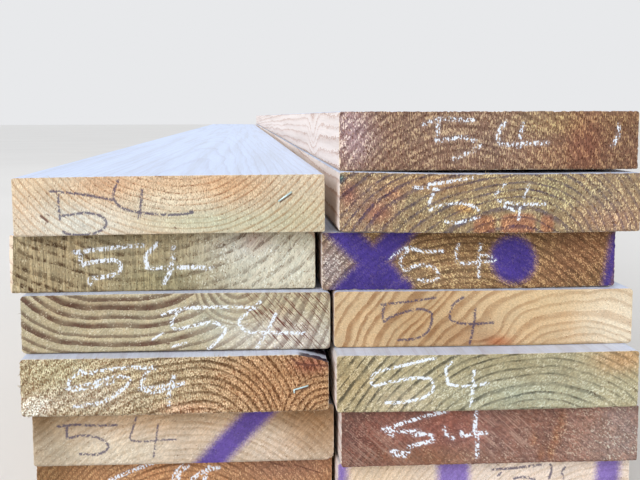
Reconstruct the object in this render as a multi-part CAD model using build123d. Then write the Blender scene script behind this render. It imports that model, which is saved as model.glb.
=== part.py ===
from build123d import *
import math
import os
from dataclasses import dataclass

# A stack of sawn softwood boards: two columns side by side, lying flat.
# Millimetres. The boards run along Y with their near ends towards -Y, and +Z is up.
# The origin is the middle of the stack's footprint, on the floor.

# Stock that every board is cut from
BOARD_LENGTH = 5400.0
BOARD_WIDTH = 240.0
BOARD_THICKNESS = 46.0

# How the boards lie
COLUMN_GAP = 2.5  # least air between two boards of one level
REST_GAP = 0.1  # air where a board touches the one that carries it

# Bark edge: the log's own round surface, left along one arris of one board
LOG_RADIUS = 180.0
BARK_WIDTH = 26.0  # across the broad face, at the near end
BARK_DEPTH = 7.0  # down the narrow face, at the near end
BARK_LENGTH = 620.0  # from the near end to where the arris is whole again

# Damage to the near ends
CHIP_RADIUS = 9.0
CHIP_BITE = 4.5  # how far a chip reaches in from its corner
RUBBED_TOP = 4.0  # width of the rubbed end edge at its top
RUBBED_BOTTOM = 1.5


@dataclass
class Board:
    """One board: where it lies in its column, and how it departs from the stock size."""

    node: str
    side: float  # left edge, to the right of its column's line
    back: float  # near end, behind the end that sticks out furthest
    long: float  # over the stock length
    wide: float  # over the stock width
    thick: float  # over the stock thickness
    cup: float  # rise of the middle over the edges; where it is below zero the edges lift
    wind: float  # lift of the right edge over the left at the near end; the far end turns back
    arris: float  # radius of the four long edges
    left: float = 0.0  # the last two are worked out when the board is laid on the stack
    bottom: float = 0.0

    @property
    def length(self):
        return BOARD_LENGTH + self.long

    @property
    def width(self):
        return BOARD_WIDTH + self.wide

    @property
    def thickness(self):
        return BOARD_THICKNESS + self.thick

    @property
    def right(self):
        return self.left + self.width

    def rise(self, x, end):
        """Height that cup and wind give the faces at a place across one end of the board."""
        across = 2 * (x - self.left) / self.width - 1
        return self.cup * (1 - across**2) + end * self.wind / 2 * across


# Both columns, from the floor up
LEFT_COLUMN = [
    Board("left_board_1", side=15, back=44, long=2, wide=0.0, thick=0.3, cup=0.0, wind=0.0, arris=2.0),
    Board("left_board_2", side=15.5, back=31.5, long=-3, wide=0.0, thick=0.3, cup=-0.4, wind=-0.2, arris=2.5),
    Board("left_board_3", side=11.5, back=10.5, long=4, wide=-1.5, thick=-0.6, cup=-0.6, wind=0.2, arris=3.0),
    Board("left_board_4", side=10, back=28, long=-1, wide=2.5, thick=-0.1, cup=0.7, wind=-0.2, arris=3.5),
    Board("left_board_5", side=0, back=40, long=-4, wide=1.5, thick=0.1, cup=0.3, wind=1.0, arris=2.5),
    Board("left_board_6", side=8, back=22, long=3, wide=0.0, thick=-0.8, cup=0.5, wind=1.6, arris=1.5),
]
RIGHT_COLUMN = [
    Board("right_board_1", side=2.5, back=22, long=1, wide=0.0, thick=0.3, cup=0.0, wind=0.0, arris=2.0),
    Board("right_board_2", side=4, back=9.5, long=4, wide=0.0, thick=0.3, cup=0.4, wind=-0.7, arris=2.0),
    Board("right_board_3", side=-0.5, back=0, long=-3, wide=0.0, thick=-0.9, cup=-0.8, wind=-0.2, arris=2.5),
    Board("right_board_4", side=0, back=28, long=2, wide=3.0, thick=-0.9, cup=-0.5, wind=-0.6, arris=3.0),
    Board("right_board_5", side=-9, back=35, long=-2, wide=-1.0, thick=0.4, cup=-0.9, wind=0.2, arris=2.0),
    Board("right_board_6", side=3, back=16, long=5, wide=0.0, thick=0.4, cup=-1.6, wind=-2.2, arris=2.0),
    Board("right_board_7", side=4, back=28, long=-1, wide=0.0, thick=0.4, cup=0.0, wind=0.0, arris=2.0),
]
NEAR, FAR = 1, -1  # the two ends, as they turn with the wind
SEAT_SAMPLES = 60  # places across two boards where their faces are compared


def seat_height(board, laid):
    """Height at which a board rests on the floor or on whatever already lies under it.

    Faces run straight from end to end, so two boards are closest at one end or the other.
    """
    steps = [i / SEAT_SAMPLES for i in range(SEAT_SAMPLES + 1)]
    across = [board.left + board.width * step for step in steps]
    height = max([0.0] + [-board.rise(x, end) for x in across for end in (NEAR, FAR)])
    for lower in laid:
        start = max(board.left, lower.left)
        stop = min(board.right, lower.right)
        if start >= stop:
            continue
        places = [start + (stop - start) * step for step in steps]
        touch = max(lower.rise(x, end) - board.rise(x, end) for x in places for end in (NEAR, FAR))
        height = max(height, lower.bottom + lower.thickness + touch + REST_GAP)
    return height


def lay_stack():
    """Lays both columns level by level, and returns every board with its place."""
    inner_line = max(board.side + board.width for board in LEFT_COLUMN)
    laid = []
    for level, board in enumerate(RIGHT_COLUMN):
        beside = LEFT_COLUMN[level] if level < len(LEFT_COLUMN) else None
        board.left = inner_line + board.side
        if beside:
            beside.left = beside.side
            beside.bottom = seat_height(beside, laid)
            board.left = max(board.left, beside.right + COLUMN_GAP)
        board.bottom = seat_height(board, laid)
        laid += [beside, board] if beside else [board]
    return laid


def broad_face(start, end, rise):
    """One broad face in section: an arc with the board's cup, or a straight line."""
    if rise == 0:
        return Line(start, end)
    middle = ((start[0] + end[0]) / 2, start[1] + rise)
    return ThreePointArc(start, middle, end)


def section(board):
    """The cupped section with its eased arrises, in the plane of the near end."""
    width, thickness = board.width, board.thickness
    with BuildSketch(Plane.XZ) as outline:
        with BuildLine():
            broad_face((0, 0), (width, 0), board.cup)
            Line((width, 0), (width, thickness))
            broad_face((0, thickness), (width, thickness), board.cup)
            Line((0, 0), (0, thickness))
        make_face()
        fillet(outline.vertices(), board.arris)
    return outline.sketch


def plain_board(board):
    """The section carried from end to end, turned a little on the way if the board winds."""
    if board.wind == 0:
        return extrude(section(board), amount=-board.length)
    turn = math.degrees(math.asin(board.wind / board.width))
    middle = Pos(board.width / 2, 0, 0)
    ends = []
    for end, place in ((NEAR, 0), (FAR, board.length)):
        turned = middle * Rot(0, -turn * end, 0) * middle.inverse() * section(board)
        ends.append(Pos(0, place, 0) * turned)
    return loft([sketch.face() for sketch in ends], ruled=True)


def bark_edge(board):
    """What the log lacked at the top right arris: the corner outside a tapering log."""
    chord = math.hypot(BARK_WIDTH, BARK_DEPTH)
    to_centre = math.sqrt(LOG_RADIUS**2 - (chord / 2) ** 2)
    centre_x = board.width - BARK_WIDTH / 2 - to_centre * BARK_DEPTH / chord
    centre_z = board.thickness - BARK_DEPTH / 2 - to_centre * BARK_WIDTH / chord
    missing = math.hypot(board.width - centre_x, board.thickness - centre_z) - LOG_RADIUS
    far_radius = LOG_RADIUS + missing
    corner = Box(3 * BARK_WIDTH, BARK_LENGTH, 3 * BARK_DEPTH, align=(Align.CENTER, Align.MIN, Align.CENTER))
    log = Cone(LOG_RADIUS, far_radius, BARK_LENGTH, align=(Align.CENTER, Align.CENTER, Align.MIN))
    log = Pos(centre_x, 0, centre_z) * Rot(-90, 0, 0) * log
    return Pos(board.width, 0, board.thickness) * corner - log


def chip(x, z, out_x, out_z):
    """A ball that bites into a near corner, from outside it."""
    offset = (CHIP_RADIUS - CHIP_BITE) / math.sqrt(3)
    return Pos(x + out_x * offset, -offset, z + out_z * offset) * Sphere(CHIP_RADIUS)


def rubbed_end(board):
    """A wedge off the near left end edge, wider at the top."""
    ends = []
    for height, rubbed in ((-board.arris, RUBBED_BOTTOM), (board.thickness + board.arris, RUBBED_TOP)):
        corner = Polyline((-1, -1), (rubbed + 1, -1), (-1, rubbed + 1), close=True)
        ends.append(Plane.XY.offset(height) * make_face(corner))
    return loft(ends)


def finish_board(board):
    """The plain board, less the bark edge or damage that this one has."""
    solid = plain_board(board)
    if board.node == "left_board_2":
        solid -= chip(board.width, 0, 1, -1)
    if board.node == "left_board_3":
        solid -= bark_edge(board)
    if board.node == "left_board_5":
        solid -= chip(board.width, board.thickness, 1, 1)
        solid -= rubbed_end(board)
    return solid


def main():
    stack = lay_stack()
    solids = [Pos(board.left, board.back, board.bottom) * finish_board(board) for board in stack]
    middle = Compound(solids).bounding_box().center()
    os.makedirs("parts", exist_ok=True)
    for board, solid in zip(stack, solids):
        export_step(Pos(-middle.X, -middle.Y, 0) * solid, f"parts/{board.node}.step")
        print(f"{board.node}: left {board.left - middle.X:.2f} front {board.back - middle.Y:.2f}"
              f" bottom {board.bottom:.2f} width {board.width:.1f} thickness {board.thickness:.1f}")


if __name__ == "__main__":
    main()
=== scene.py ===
import math
from dataclasses import dataclass
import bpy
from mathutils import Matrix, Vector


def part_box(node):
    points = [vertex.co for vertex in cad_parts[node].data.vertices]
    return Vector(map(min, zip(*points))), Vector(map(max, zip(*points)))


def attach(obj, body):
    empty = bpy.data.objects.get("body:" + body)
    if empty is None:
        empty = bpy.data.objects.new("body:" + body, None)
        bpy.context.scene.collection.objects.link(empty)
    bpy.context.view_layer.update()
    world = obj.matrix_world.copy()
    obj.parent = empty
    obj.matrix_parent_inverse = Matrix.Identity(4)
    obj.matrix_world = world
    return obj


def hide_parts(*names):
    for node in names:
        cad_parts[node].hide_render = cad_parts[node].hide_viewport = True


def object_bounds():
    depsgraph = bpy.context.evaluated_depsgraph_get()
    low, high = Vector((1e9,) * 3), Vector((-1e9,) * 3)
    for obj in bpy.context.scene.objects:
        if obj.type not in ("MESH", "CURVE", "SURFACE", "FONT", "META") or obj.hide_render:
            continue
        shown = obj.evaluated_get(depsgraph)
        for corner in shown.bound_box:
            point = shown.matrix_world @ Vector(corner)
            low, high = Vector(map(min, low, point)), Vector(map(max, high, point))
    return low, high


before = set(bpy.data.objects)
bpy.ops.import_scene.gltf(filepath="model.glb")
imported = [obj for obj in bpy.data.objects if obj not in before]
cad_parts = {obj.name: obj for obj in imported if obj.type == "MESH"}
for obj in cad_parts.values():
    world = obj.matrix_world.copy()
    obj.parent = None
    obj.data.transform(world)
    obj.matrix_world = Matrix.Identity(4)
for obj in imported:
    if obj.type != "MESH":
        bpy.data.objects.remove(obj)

from types import SimpleNamespace

import bpy
import numpy as np
from bpy.props import CollectionProperty, FloatProperty, FloatVectorProperty, IntProperty
from bpy.props import PointerProperty
from mathutils import Matrix, Vector
from mathutils.bvhtree import BVHTree

bl_info = {
    "name": "Stack of Lumber",
    "version": (1, 0, 0),
    "blender": (4, 5, 0),
    "location": "View3D > Sidebar > Lumber",
    "description": "Sawn boards in two columns, with growth rings, saw marks and yard marks",
    "category": "Add Mesh",
}

CAD_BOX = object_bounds()
MM = 0.001
BODY = "root"

# Names of the values that the boards' meshes carry for their materials
TINT, EDGE, BARK = "tint", "edge", "bark"
CHALK, PENCIL, PAINT, CUT_AND_SHADOW = "chalk", "pencil", "paint", "cut"
SAW_LINES, SCRATCHES, BANDS, FLECKS, PITS = "saw_lines", "scratches", "bands", "flecks", "pits"
# How far each kind of detail shows where no patch changes it
USUAL = {SAW_LINES: 1.0, SCRATCHES: 0.0, BANDS: 1.0, FLECKS: 1.0, PITS: 0.0}
FAR = 9.0  # millimetres; a mark or an edge further off than this counts as this far

# The bark edge of one board, in millimetres
BARK_NODE = "left_board_3"
BARK_WIDTH, BARK_DEPTH, BARK_LENGTH, BARK_ARRIS = 27.0, 9.0, 600.0, 3.3
PAINTED_BARK_HIGHLIGHT_START, PAINTED_BARK_HIGHLIGHT_STOP = (9.5, 12.0), (19.0, 26.0)  # from the near end, where the painted highlight on the bark sets in and where it ends


# Colours

def srgb(red, green, blue):
    """A linear colour from the 0 to 255 values that a screen shows."""
    parts = []
    for value in (red, green, blue):
        share = value / 255
        parts.append(share / 12.92 if share <= 0.04045 else ((share + 0.055) / 1.055) ** 2.4)
    return tuple(parts)


# How each board looks. Lengths are in millimetres, from the board's left edge and underside.

BOARD_LOOKS = {
    "left_board_6": dict(
        wood=srgb(208, 191, 166), band=srgb(168, 130, 94), fleck=srgb(234, 224, 198),
        pith_across=129, pith_height=121, lean=12, left_spread=0.95,
        waver=2.2, ragged=0.3, fading=0.45,
        band_strength=0.65, torn=0.3, flecked=0.25, mottled=0.7,
        saw_pitch=1.6, saw_strength=0.12,
        splinters=6),
    "left_board_5": dict(
        wood=srgb(173, 160, 127), band=srgb(84, 62, 40), fleck=srgb(206, 198, 168),
        pith_across=101, pith_height=184, lean=-6,
        spacing=8.0, waver=4.0,
        band_strength=1.0, band_share=0.6, patchy=0.9, torn=0.5, flecked=0.28, pitted=0.3, mottled=0.7,
        saw_pitch=1.25, saw_strength=1.0, scratch=srgb(216, 210, 192), scratch_angle=-38,
        splinters=14, chalk_break=0.4, chalk_spread=0.6, combed=0.5),
    "left_board_4": dict(
        wood=srgb(188, 177, 148), band=srgb(92, 66, 54), fleck=srgb(214, 208, 186),
        pith_across=78, pith_height=118, lean=6, squareness=2.7,
        spacing=7.25, phase=0.12, uneven=0.3, waver=3.0, ragged=0.55, fading=0.3,
        band_strength=1.0, band_share=0.66, torn=0.4, flecked=0.32,
        saw_angle=-48, saw_pitch=1.9, saw_strength=0.2, scratch=srgb(98, 46, 34), scratch_angle=42,
        splinters=10, chalk_break=0.42, chalk_spread=0.2,
        knot_across=170, knot_height=56, knot_reach=36, knot_rings=1.0),
    "left_board_3": dict(
        wood=srgb(174, 156, 123), band=srgb(88, 64, 36), fleck=srgb(232, 218, 184),
        pith_across=141, pith_height=-40, lean=8, left_spread=0.66, right_spread=1.35,
        spacing=6.3, phase=-0.48, uneven=0.6, waver=1.8, ragged=0.9, fading=0.35,
        band_strength=0.95, band_share=0.45, torn=1.0, flecked=0.72, pitted=0.9, mottled=0.9,
        saw_pitch=1.3, saw_strength=0.2,
        splinters=80, chalk_break=0.5, chalk_spread=0.35,
        knot_across=236, knot_height=-5, knot_reach=35, knot_rings=1.0),
    "left_board_2": dict(
        wood=srgb(206, 187, 166), band=srgb(160, 134, 104), fleck=srgb(228, 214, 196),
        pith_across=122, pith_height=-90, lean=-5, left_spread=0.9,
        spacing=5.4, waver=3.5, ragged=0.3, fading=0.75,
        band_strength=0.55, band_share=0.6, torn=0.15, flecked=0.2, mottled=0.7,
        saw_angle=-42, saw_pitch=1.3, saw_strength=0.32,
        splinters=8, paint=srgb(84, 62, 146), paint_cover=0.95),
    "left_board_1": dict(
        wood=srgb(178, 134, 97), band=srgb(100, 64, 38), fleck=srgb(222, 180, 132),
        pith_across=115, pith_height=-40, lean=6,
        spacing=4.4, waver=3.0, ragged=0.6,
        band_strength=0.85, band_share=0.5, torn=0.7, flecked=0.4, mottled=0.9,
        saw_angle=20, saw_pitch=1.4, saw_strength=0.2,
        splinters=30, chalk_break=0.42, chalk_spread=0.5),
    "right_board_7": dict(
        wood=srgb(138, 108, 92), band=srgb(92, 64, 52), fleck=srgb(204, 176, 142),
        pith_across=96, pith_height=-49, lean=-8, right_spread=0.85,
        spacing=6.4, waver=2.5, ragged=1.5, fading=0.4,
        band_strength=0.5, band_share=0.55, torn=0.95, flecked=0.62, pitted=0.5, stretch=1.8, mottled=1.0,
        saw_pitch=1.3, saw_strength=0.35,
        splinters=40, chalk_break=0.6, chalk_spread=0.6,
        knot_height=24, knot_along=318, knot_reach=26, knot_push=-13),
    "right_board_6": dict(
        wood=srgb(152, 131, 101), band=srgb(76, 68, 86), fleck=srgb(228, 210, 158),
        pith_across=146, pith_height=-28, lean=9, left_spread=0.6,
        spacing=6.5, waver=2.5, ragged=0.8, fading=0.45,
        band_strength=1.0, band_share=0.45, patchy=0.3, torn=0.75, flecked=0.4, pitted=0.4, mottled=1.3,
        saw_angle=-15, saw_pitch=1.3, saw_strength=0.15,
        splinters=18, chalk_break=0.45, chalk_spread=0.1),
    "right_board_5": dict(
        wood=srgb(138, 107, 75), band=srgb(86, 64, 42), fleck=srgb(204, 174, 124),
        pith_across=111, pith_height=-70, lean=-6, right_spread=0.9,
        spacing=6.2, waver=2.6, ragged=0.6, fading=0.45,
        band_strength=0.85, band_share=0.45, torn=0.8, flecked=0.5, pitted=0.3, mottled=1.0,
        saw_angle=45, saw_pitch=1.4, saw_strength=0.25,
        splinters=16, chalk_break=0.52, chalk_spread=0.2, paint=srgb(62, 47, 130), paint_cover=0.97),
    "right_board_4": dict(
        wood=srgb(205, 178, 141), band=srgb(154, 117, 82), fleck=srgb(228, 207, 168),
        pith_across=206, pith_height=-96, lean=7,
        spacing=8.3, uneven=1.6, waver=6.0, ragged=0.3, fading=0.35,
        band_strength=0.85, band_share=0.55, torn=0.2, flecked=0.12, mottled=0.7,
        saw_angle=60, saw_pitch=1.8, saw_strength=0.1,
        splinters=4,
        knot_across=133, knot_height=10, knot_reach=16, knot_push=-9),
    "right_board_3": dict(
        wood=srgb(180, 169, 135), band=srgb(98, 93, 76), fleck=srgb(224, 216, 186),
        pith_across=161, pith_height=-80, lean=-9, left_spread=0.95,
        spacing=6.2, uneven=1.2, waver=3.0, ragged=0.5, fading=0.65,
        band_strength=1.0, band_share=0.42, patchy=0.3, torn=0.5, flecked=0.42, mottled=0.9,
        saw_angle=-45, saw_strength=0.15,
        splinters=12, chalk_break=0.38, chalk_spread=0.1),
    "right_board_2": dict(
        wood=srgb(136, 100, 88), band=srgb(98, 70, 63), fleck=srgb(182, 156, 138),
        pith_across=150, pith_height=-60, lean=6,
        spacing=5.5, waver=4.0, ragged=0.6,
        band_strength=0.35, torn=0.6, flecked=0.22, mottled=1.5,
        saw_angle=50, saw_pitch=1.3, saw_strength=0.45, scratch=srgb(176, 146, 130), scratch_angle=48,
        splinters=20, chalk_break=0.44, chalk_spread=0.5),
    "right_board_1": dict(
        wood=srgb(229, 213, 199), band=srgb(192, 170, 144), fleck=srgb(251, 245, 236),
        pith_across=230, pith_height=-100, lean=5,
        spacing=5.5, waver=3.0, ragged=0.3,
        band_strength=0.6, torn=0.25, flecked=0.12, mottled=0.6,
        saw_angle=-40, saw_pitch=1.8, saw_strength=0.2,
        splinters=4, paint=srgb(110, 86, 174), paint_cover=0.88),
}


@dataclass
class Line:
    """A stroke on a near end, drawn, sprayed or cut, through points across and up from the board's corner."""

    tool: str
    width: float
    points: list


@dataclass
class Spot:
    """A soft patch on a near end where the wood, there and in its bands, takes another colour."""

    across: float
    up: float
    wide: float
    high: float
    colour: tuple
    strength: float = 0.8
    crisp: float = 1.3  # 1 fades from the middle out; 2 and more keep to a clear and squarer rim


@dataclass
class Patch:
    """A soft patch on a near end where one kind of the saw's or the wood's detail shows more or less."""

    kind: str
    across: float
    up: float
    wide: float
    high: float
    change: float
    crisp: float = 1.3


CHALK_WIDTH, PENCIL_WIDTH, CUT_AND_SHADOW_WIDTH = 2.1, 2.0, 1.0  # millimetres


def chalk(*points, width=CHALK_WIDTH):
    return Line(CHALK, width, list(points))


def pencil(*points, width=PENCIL_WIDTH):
    return Line(PENCIL, width, list(points))


# Nicks and cracks, and also painted shadows: dark strokes under the staples and below the bark's edge
def cut(*points, width=CUT_AND_SHADOW_WIDTH):
    return Line(CUT_AND_SHADOW, width, list(points))


def spray(width, *points):
    return Line(PAINT, width, list(points))


# What is drawn on each near end: the board's length in decimetres, sprayed signs, nicks, and painted shadows
# under the staples and below the bark, drawn as cuts.
# Most points were read off the photo and then turned into millimetres by a separate script.
YARD_MARKS = {
    "left_board_6": [
        pencil((29, 35), (40, 34), (56, 32), (76, 28)),
        pencil((35, 34), (35, 24), (36, 13)),
        pencil((37, 16), (46, 17), (56, 18), (66, 16), (71, 11), (69, 6), (61, 2), (50, 1), (41, 2), (38, 4)),
        pencil((81, 43), (78, 36), (77, 29), (83, 22), (92, 19), (106, 17), (119, 16), (136, 17)),
        pencil((99, 36), (98, 26), (96, 13)),
        pencil((135, 18), (137, 18), width=3.0),
        cut((21.5, 16), (24, 14), (26.5, 11.5), width=1.8),
        cut((26, 17.5), (28, 16), width=0.9),
        cut((123.5, 6.5), (124.5, 5.5), width=1.2),
        # Painted shadow under the staple, drawn as a cut
        cut((205, 25), (214.5, 31.5)),
    ],
    "left_board_5": [
        chalk((51, 32), (69, 34), (88, 36), (105, 37)),
        chalk((56, 32), (56, 26), (57, 21)),
        chalk((59, 23), (72, 25), (84, 25), (87, 19), (82, 14), (72, 12), (63, 11), (63, 7)),
        chalk((116, 38), (111, 33), (107, 28), (108, 21), (110, 19), (129, 19), (146, 19), (159, 18)),
        chalk((129, 35), (128, 24), (126, 16), (121, 7)),
    ],
    "left_board_4": [
        chalk((110, 30), (124, 34), (144, 35), (167, 35), (184, 34)),
        chalk((124, 34), (119, 28), (117, 24), (120, 18), (136, 21), (149, 23), (156, 20), (159, 16),
              (154, 9), (145, 1)),
        chalk((187, 39), (177, 30), (170, 23), (177, 15), (196, 14), (222, 13)),
        chalk((199, 29), (194, 18), (184, 2)),
        chalk((110, 15), (102, 10), width=1.2),
        chalk((117, 4), (128, 7), width=1.3),
        cut((113, 6.5), (115, 6.5), width=1.3),
    ],
    "left_board_3": [
        chalk((36, 25), (41, 32), (56, 35), (71, 37), (88, 38), (103, 37)),
        chalk((42, 37), (55, 34)),
        chalk((36, 22), (51, 25), (68, 30), (78, 31), (84, 28), (78, 21), (68, 14), (58, 10), (41, 8)),
        chalk((40, 21), (55, 23), (71, 27)),
        chalk((101, 38), (95, 31), (93, 22), (101, 18), (111, 20), (125, 25)),
        chalk((118, 31), (114, 20), (113, 8), width=2.2),
        chalk((91, 21), (104, 22), (118, 25)),
        # Painted shadow under the staple, drawn as a cut
        cut((212, 16.6), (222, 19.6)),
        # Painted shadow: a dark line along the end's rim below the bark, drawn as a cut
        cut((209, 43), (214, 39), (221, 37.5), (238, 36.5), width=1.6),
        cut((218.8, 40), (219.6, 33)),
        cut((223, 38), (222, 34), width=0.9),
        cut((225, 37), (224.5, 33), width=0.8),
    ],
    "left_board_2": [
        pencil((20, 33), (35, 34), (47, 33), (66, 33)),
        pencil((27, 32), (27, 23)),
        pencil((27, 23), (33, 24), (39, 25), (51, 23), (59, 17), (58, 13), (53, 10), (47, 9), (37, 10)),
        pencil((82, 39), (79, 30), (77, 21), (87, 19), (101, 20), (113, 20), width=1.5),
        pencil((99, 33), (97, 19), (95, 6), width=1.5),
        spray(19, (190, 52), (172, 33), (154, 15), (135, -6)),
    ],
    "left_board_1": [
        chalk((59, 30), (76, 37), (93, 43)),
        chalk((110, 28), (112, 35), (118, 40)),
        chalk((114, 28), (115, 35), (122, 40)),
        chalk((125, 29), (136, 36), (147, 38)),
        chalk((135, 27), (137, 35), (139, 39)),
        cut((187, 43), (194, 40), (202, 38)),
        cut((209, 39), (220, 35), (232, 31)),
    ],
    "right_board_7": [
        chalk((67, 36), (78, 40), (92, 40), (106, 39)),
        chalk((78, 38), (78, 30), (77, 24)),
        chalk((78, 23), (89, 25), (99, 26), (111, 21), (109, 17), (101, 13), (91, 9)),
        chalk((132, 38), (128, 32), (126, 26), (130, 20), (147, 21), (166, 21)),
        chalk((146, 36), (144, 27), (143, 18)),
        chalk((223, 35), (223, 27), (219, 19)),
    ],
    "right_board_6": [
        chalk((59, 37), (69, 36), (78, 35)),
        chalk((71, 39), (87, 41), (105, 44)),
        chalk((74, 31), (72, 27), (70, 23)),
        chalk((72, 19), (79, 22), (87, 24), (97, 24), (105, 22), (110, 19)),
        chalk((84, 10), (94, 9), (110, 13)),
        chalk((131, 39), (127, 35), (123, 30), width=1.5),
        chalk((126, 26), (135, 24), (147, 23), (163, 23)),
        chalk((150, 38), (148, 33), (146, 28), width=1.5),
        chalk((129, 22), (139, 18)),
        chalk((143, 20), (143, 15), (142, 11)),
    ],
    "right_board_5": [
        chalk((55, 26), (62, 31), (69, 34), (82, 31), (97, 31)),
        chalk((69, 32), (63, 24), (67, 16), (74, 19), (82, 20), (91, 17), (94, 10), (87, 7), (78, 8)),
        chalk((110, 36), (108, 27), (112, 21), (130, 22), (140, 23)),
        chalk((128, 36), (127, 23), (127, 10)),
        chalk((130, 28), (137, 26)),
        spray(21, (12, 52), (32, 31), (48, 15), (64, -5)),
        spray(19, (68, 52), (50, 32), (32, 13), (14, -6)),
        spray(18, (26, 4), (45, 4), (64, 1)),
        spray(35, (154, 25), (156, 22)),
        cut((24, 43), (45, 32), (68, 19), width=0.7),
        spray(8, (239, 40), (236, 20), (233, 2)),
    ],
    "right_board_4": [
        pencil((38, 35), (59, 37), (81, 40)),
        pencil((41, 35), (39, 28), (40, 21)),
        pencil((40, 21), (46, 25), (58, 29), (68, 31), (76, 29), (79, 25), (76, 13), (66, 7), (52, 6)),
        pencil((104, 40), (97, 35), (94, 30), (94, 22), (101, 19), (111, 18), (129, 19)),
        pencil((114, 30), (113, 18), (110, 2)),
    ],
    "right_board_3": [
        chalk((77, 43), (55, 38), (31, 32), (28, 22), (40, 24), (58, 27), (68, 27), (74, 26), (76, 18),
              (71, 13), (63, 10), (52, 8), (39, 8)),
        chalk((90, 39), (86, 35), (86, 31), (87, 25), (88, 22), (97, 20), (108, 20), (119, 22)),
        chalk((108, 32), (107, 17), (106, 2)),
    ],
    "right_board_2": [
        chalk((43, 34), (57, 38), (72, 42), (85, 45)),
        chalk((33, 31), (37, 29), (41, 26)),
        chalk((37, 32), (49, 29), (62, 29), width=2.4),
        chalk((58, 26), (70, 26), (74, 21), (65, 19), (54, 16), width=2.2),
        chalk((40, 13), (54, 12)),
        chalk((43, 10), (51, 9)),
        chalk((83, 32), (83, 27), (90, 22)),
        chalk((96, 27), (98, 24), (106, 26), (116, 26)),
        chalk((108, 43), (107, 29), (109, 21), (109, 7), width=2.2),
    ],
    "right_board_1": [
        pencil((126, 38), (146, 39), (166, 41)),
        pencil((133, 35), (131, 33)),
        pencil((174, 41), (175, 36), (173, 29)),
        pencil((186, 38), (184, 34), (185, 29)),
        pencil((144, 30), (152, 31), (161, 29)),
        spray(9, (3, 45), (3, 34)),
        spray(26, (94, 50), (94, 20)),
        spray(20, (223, 50), (221, 20)),
    ],
}

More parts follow.
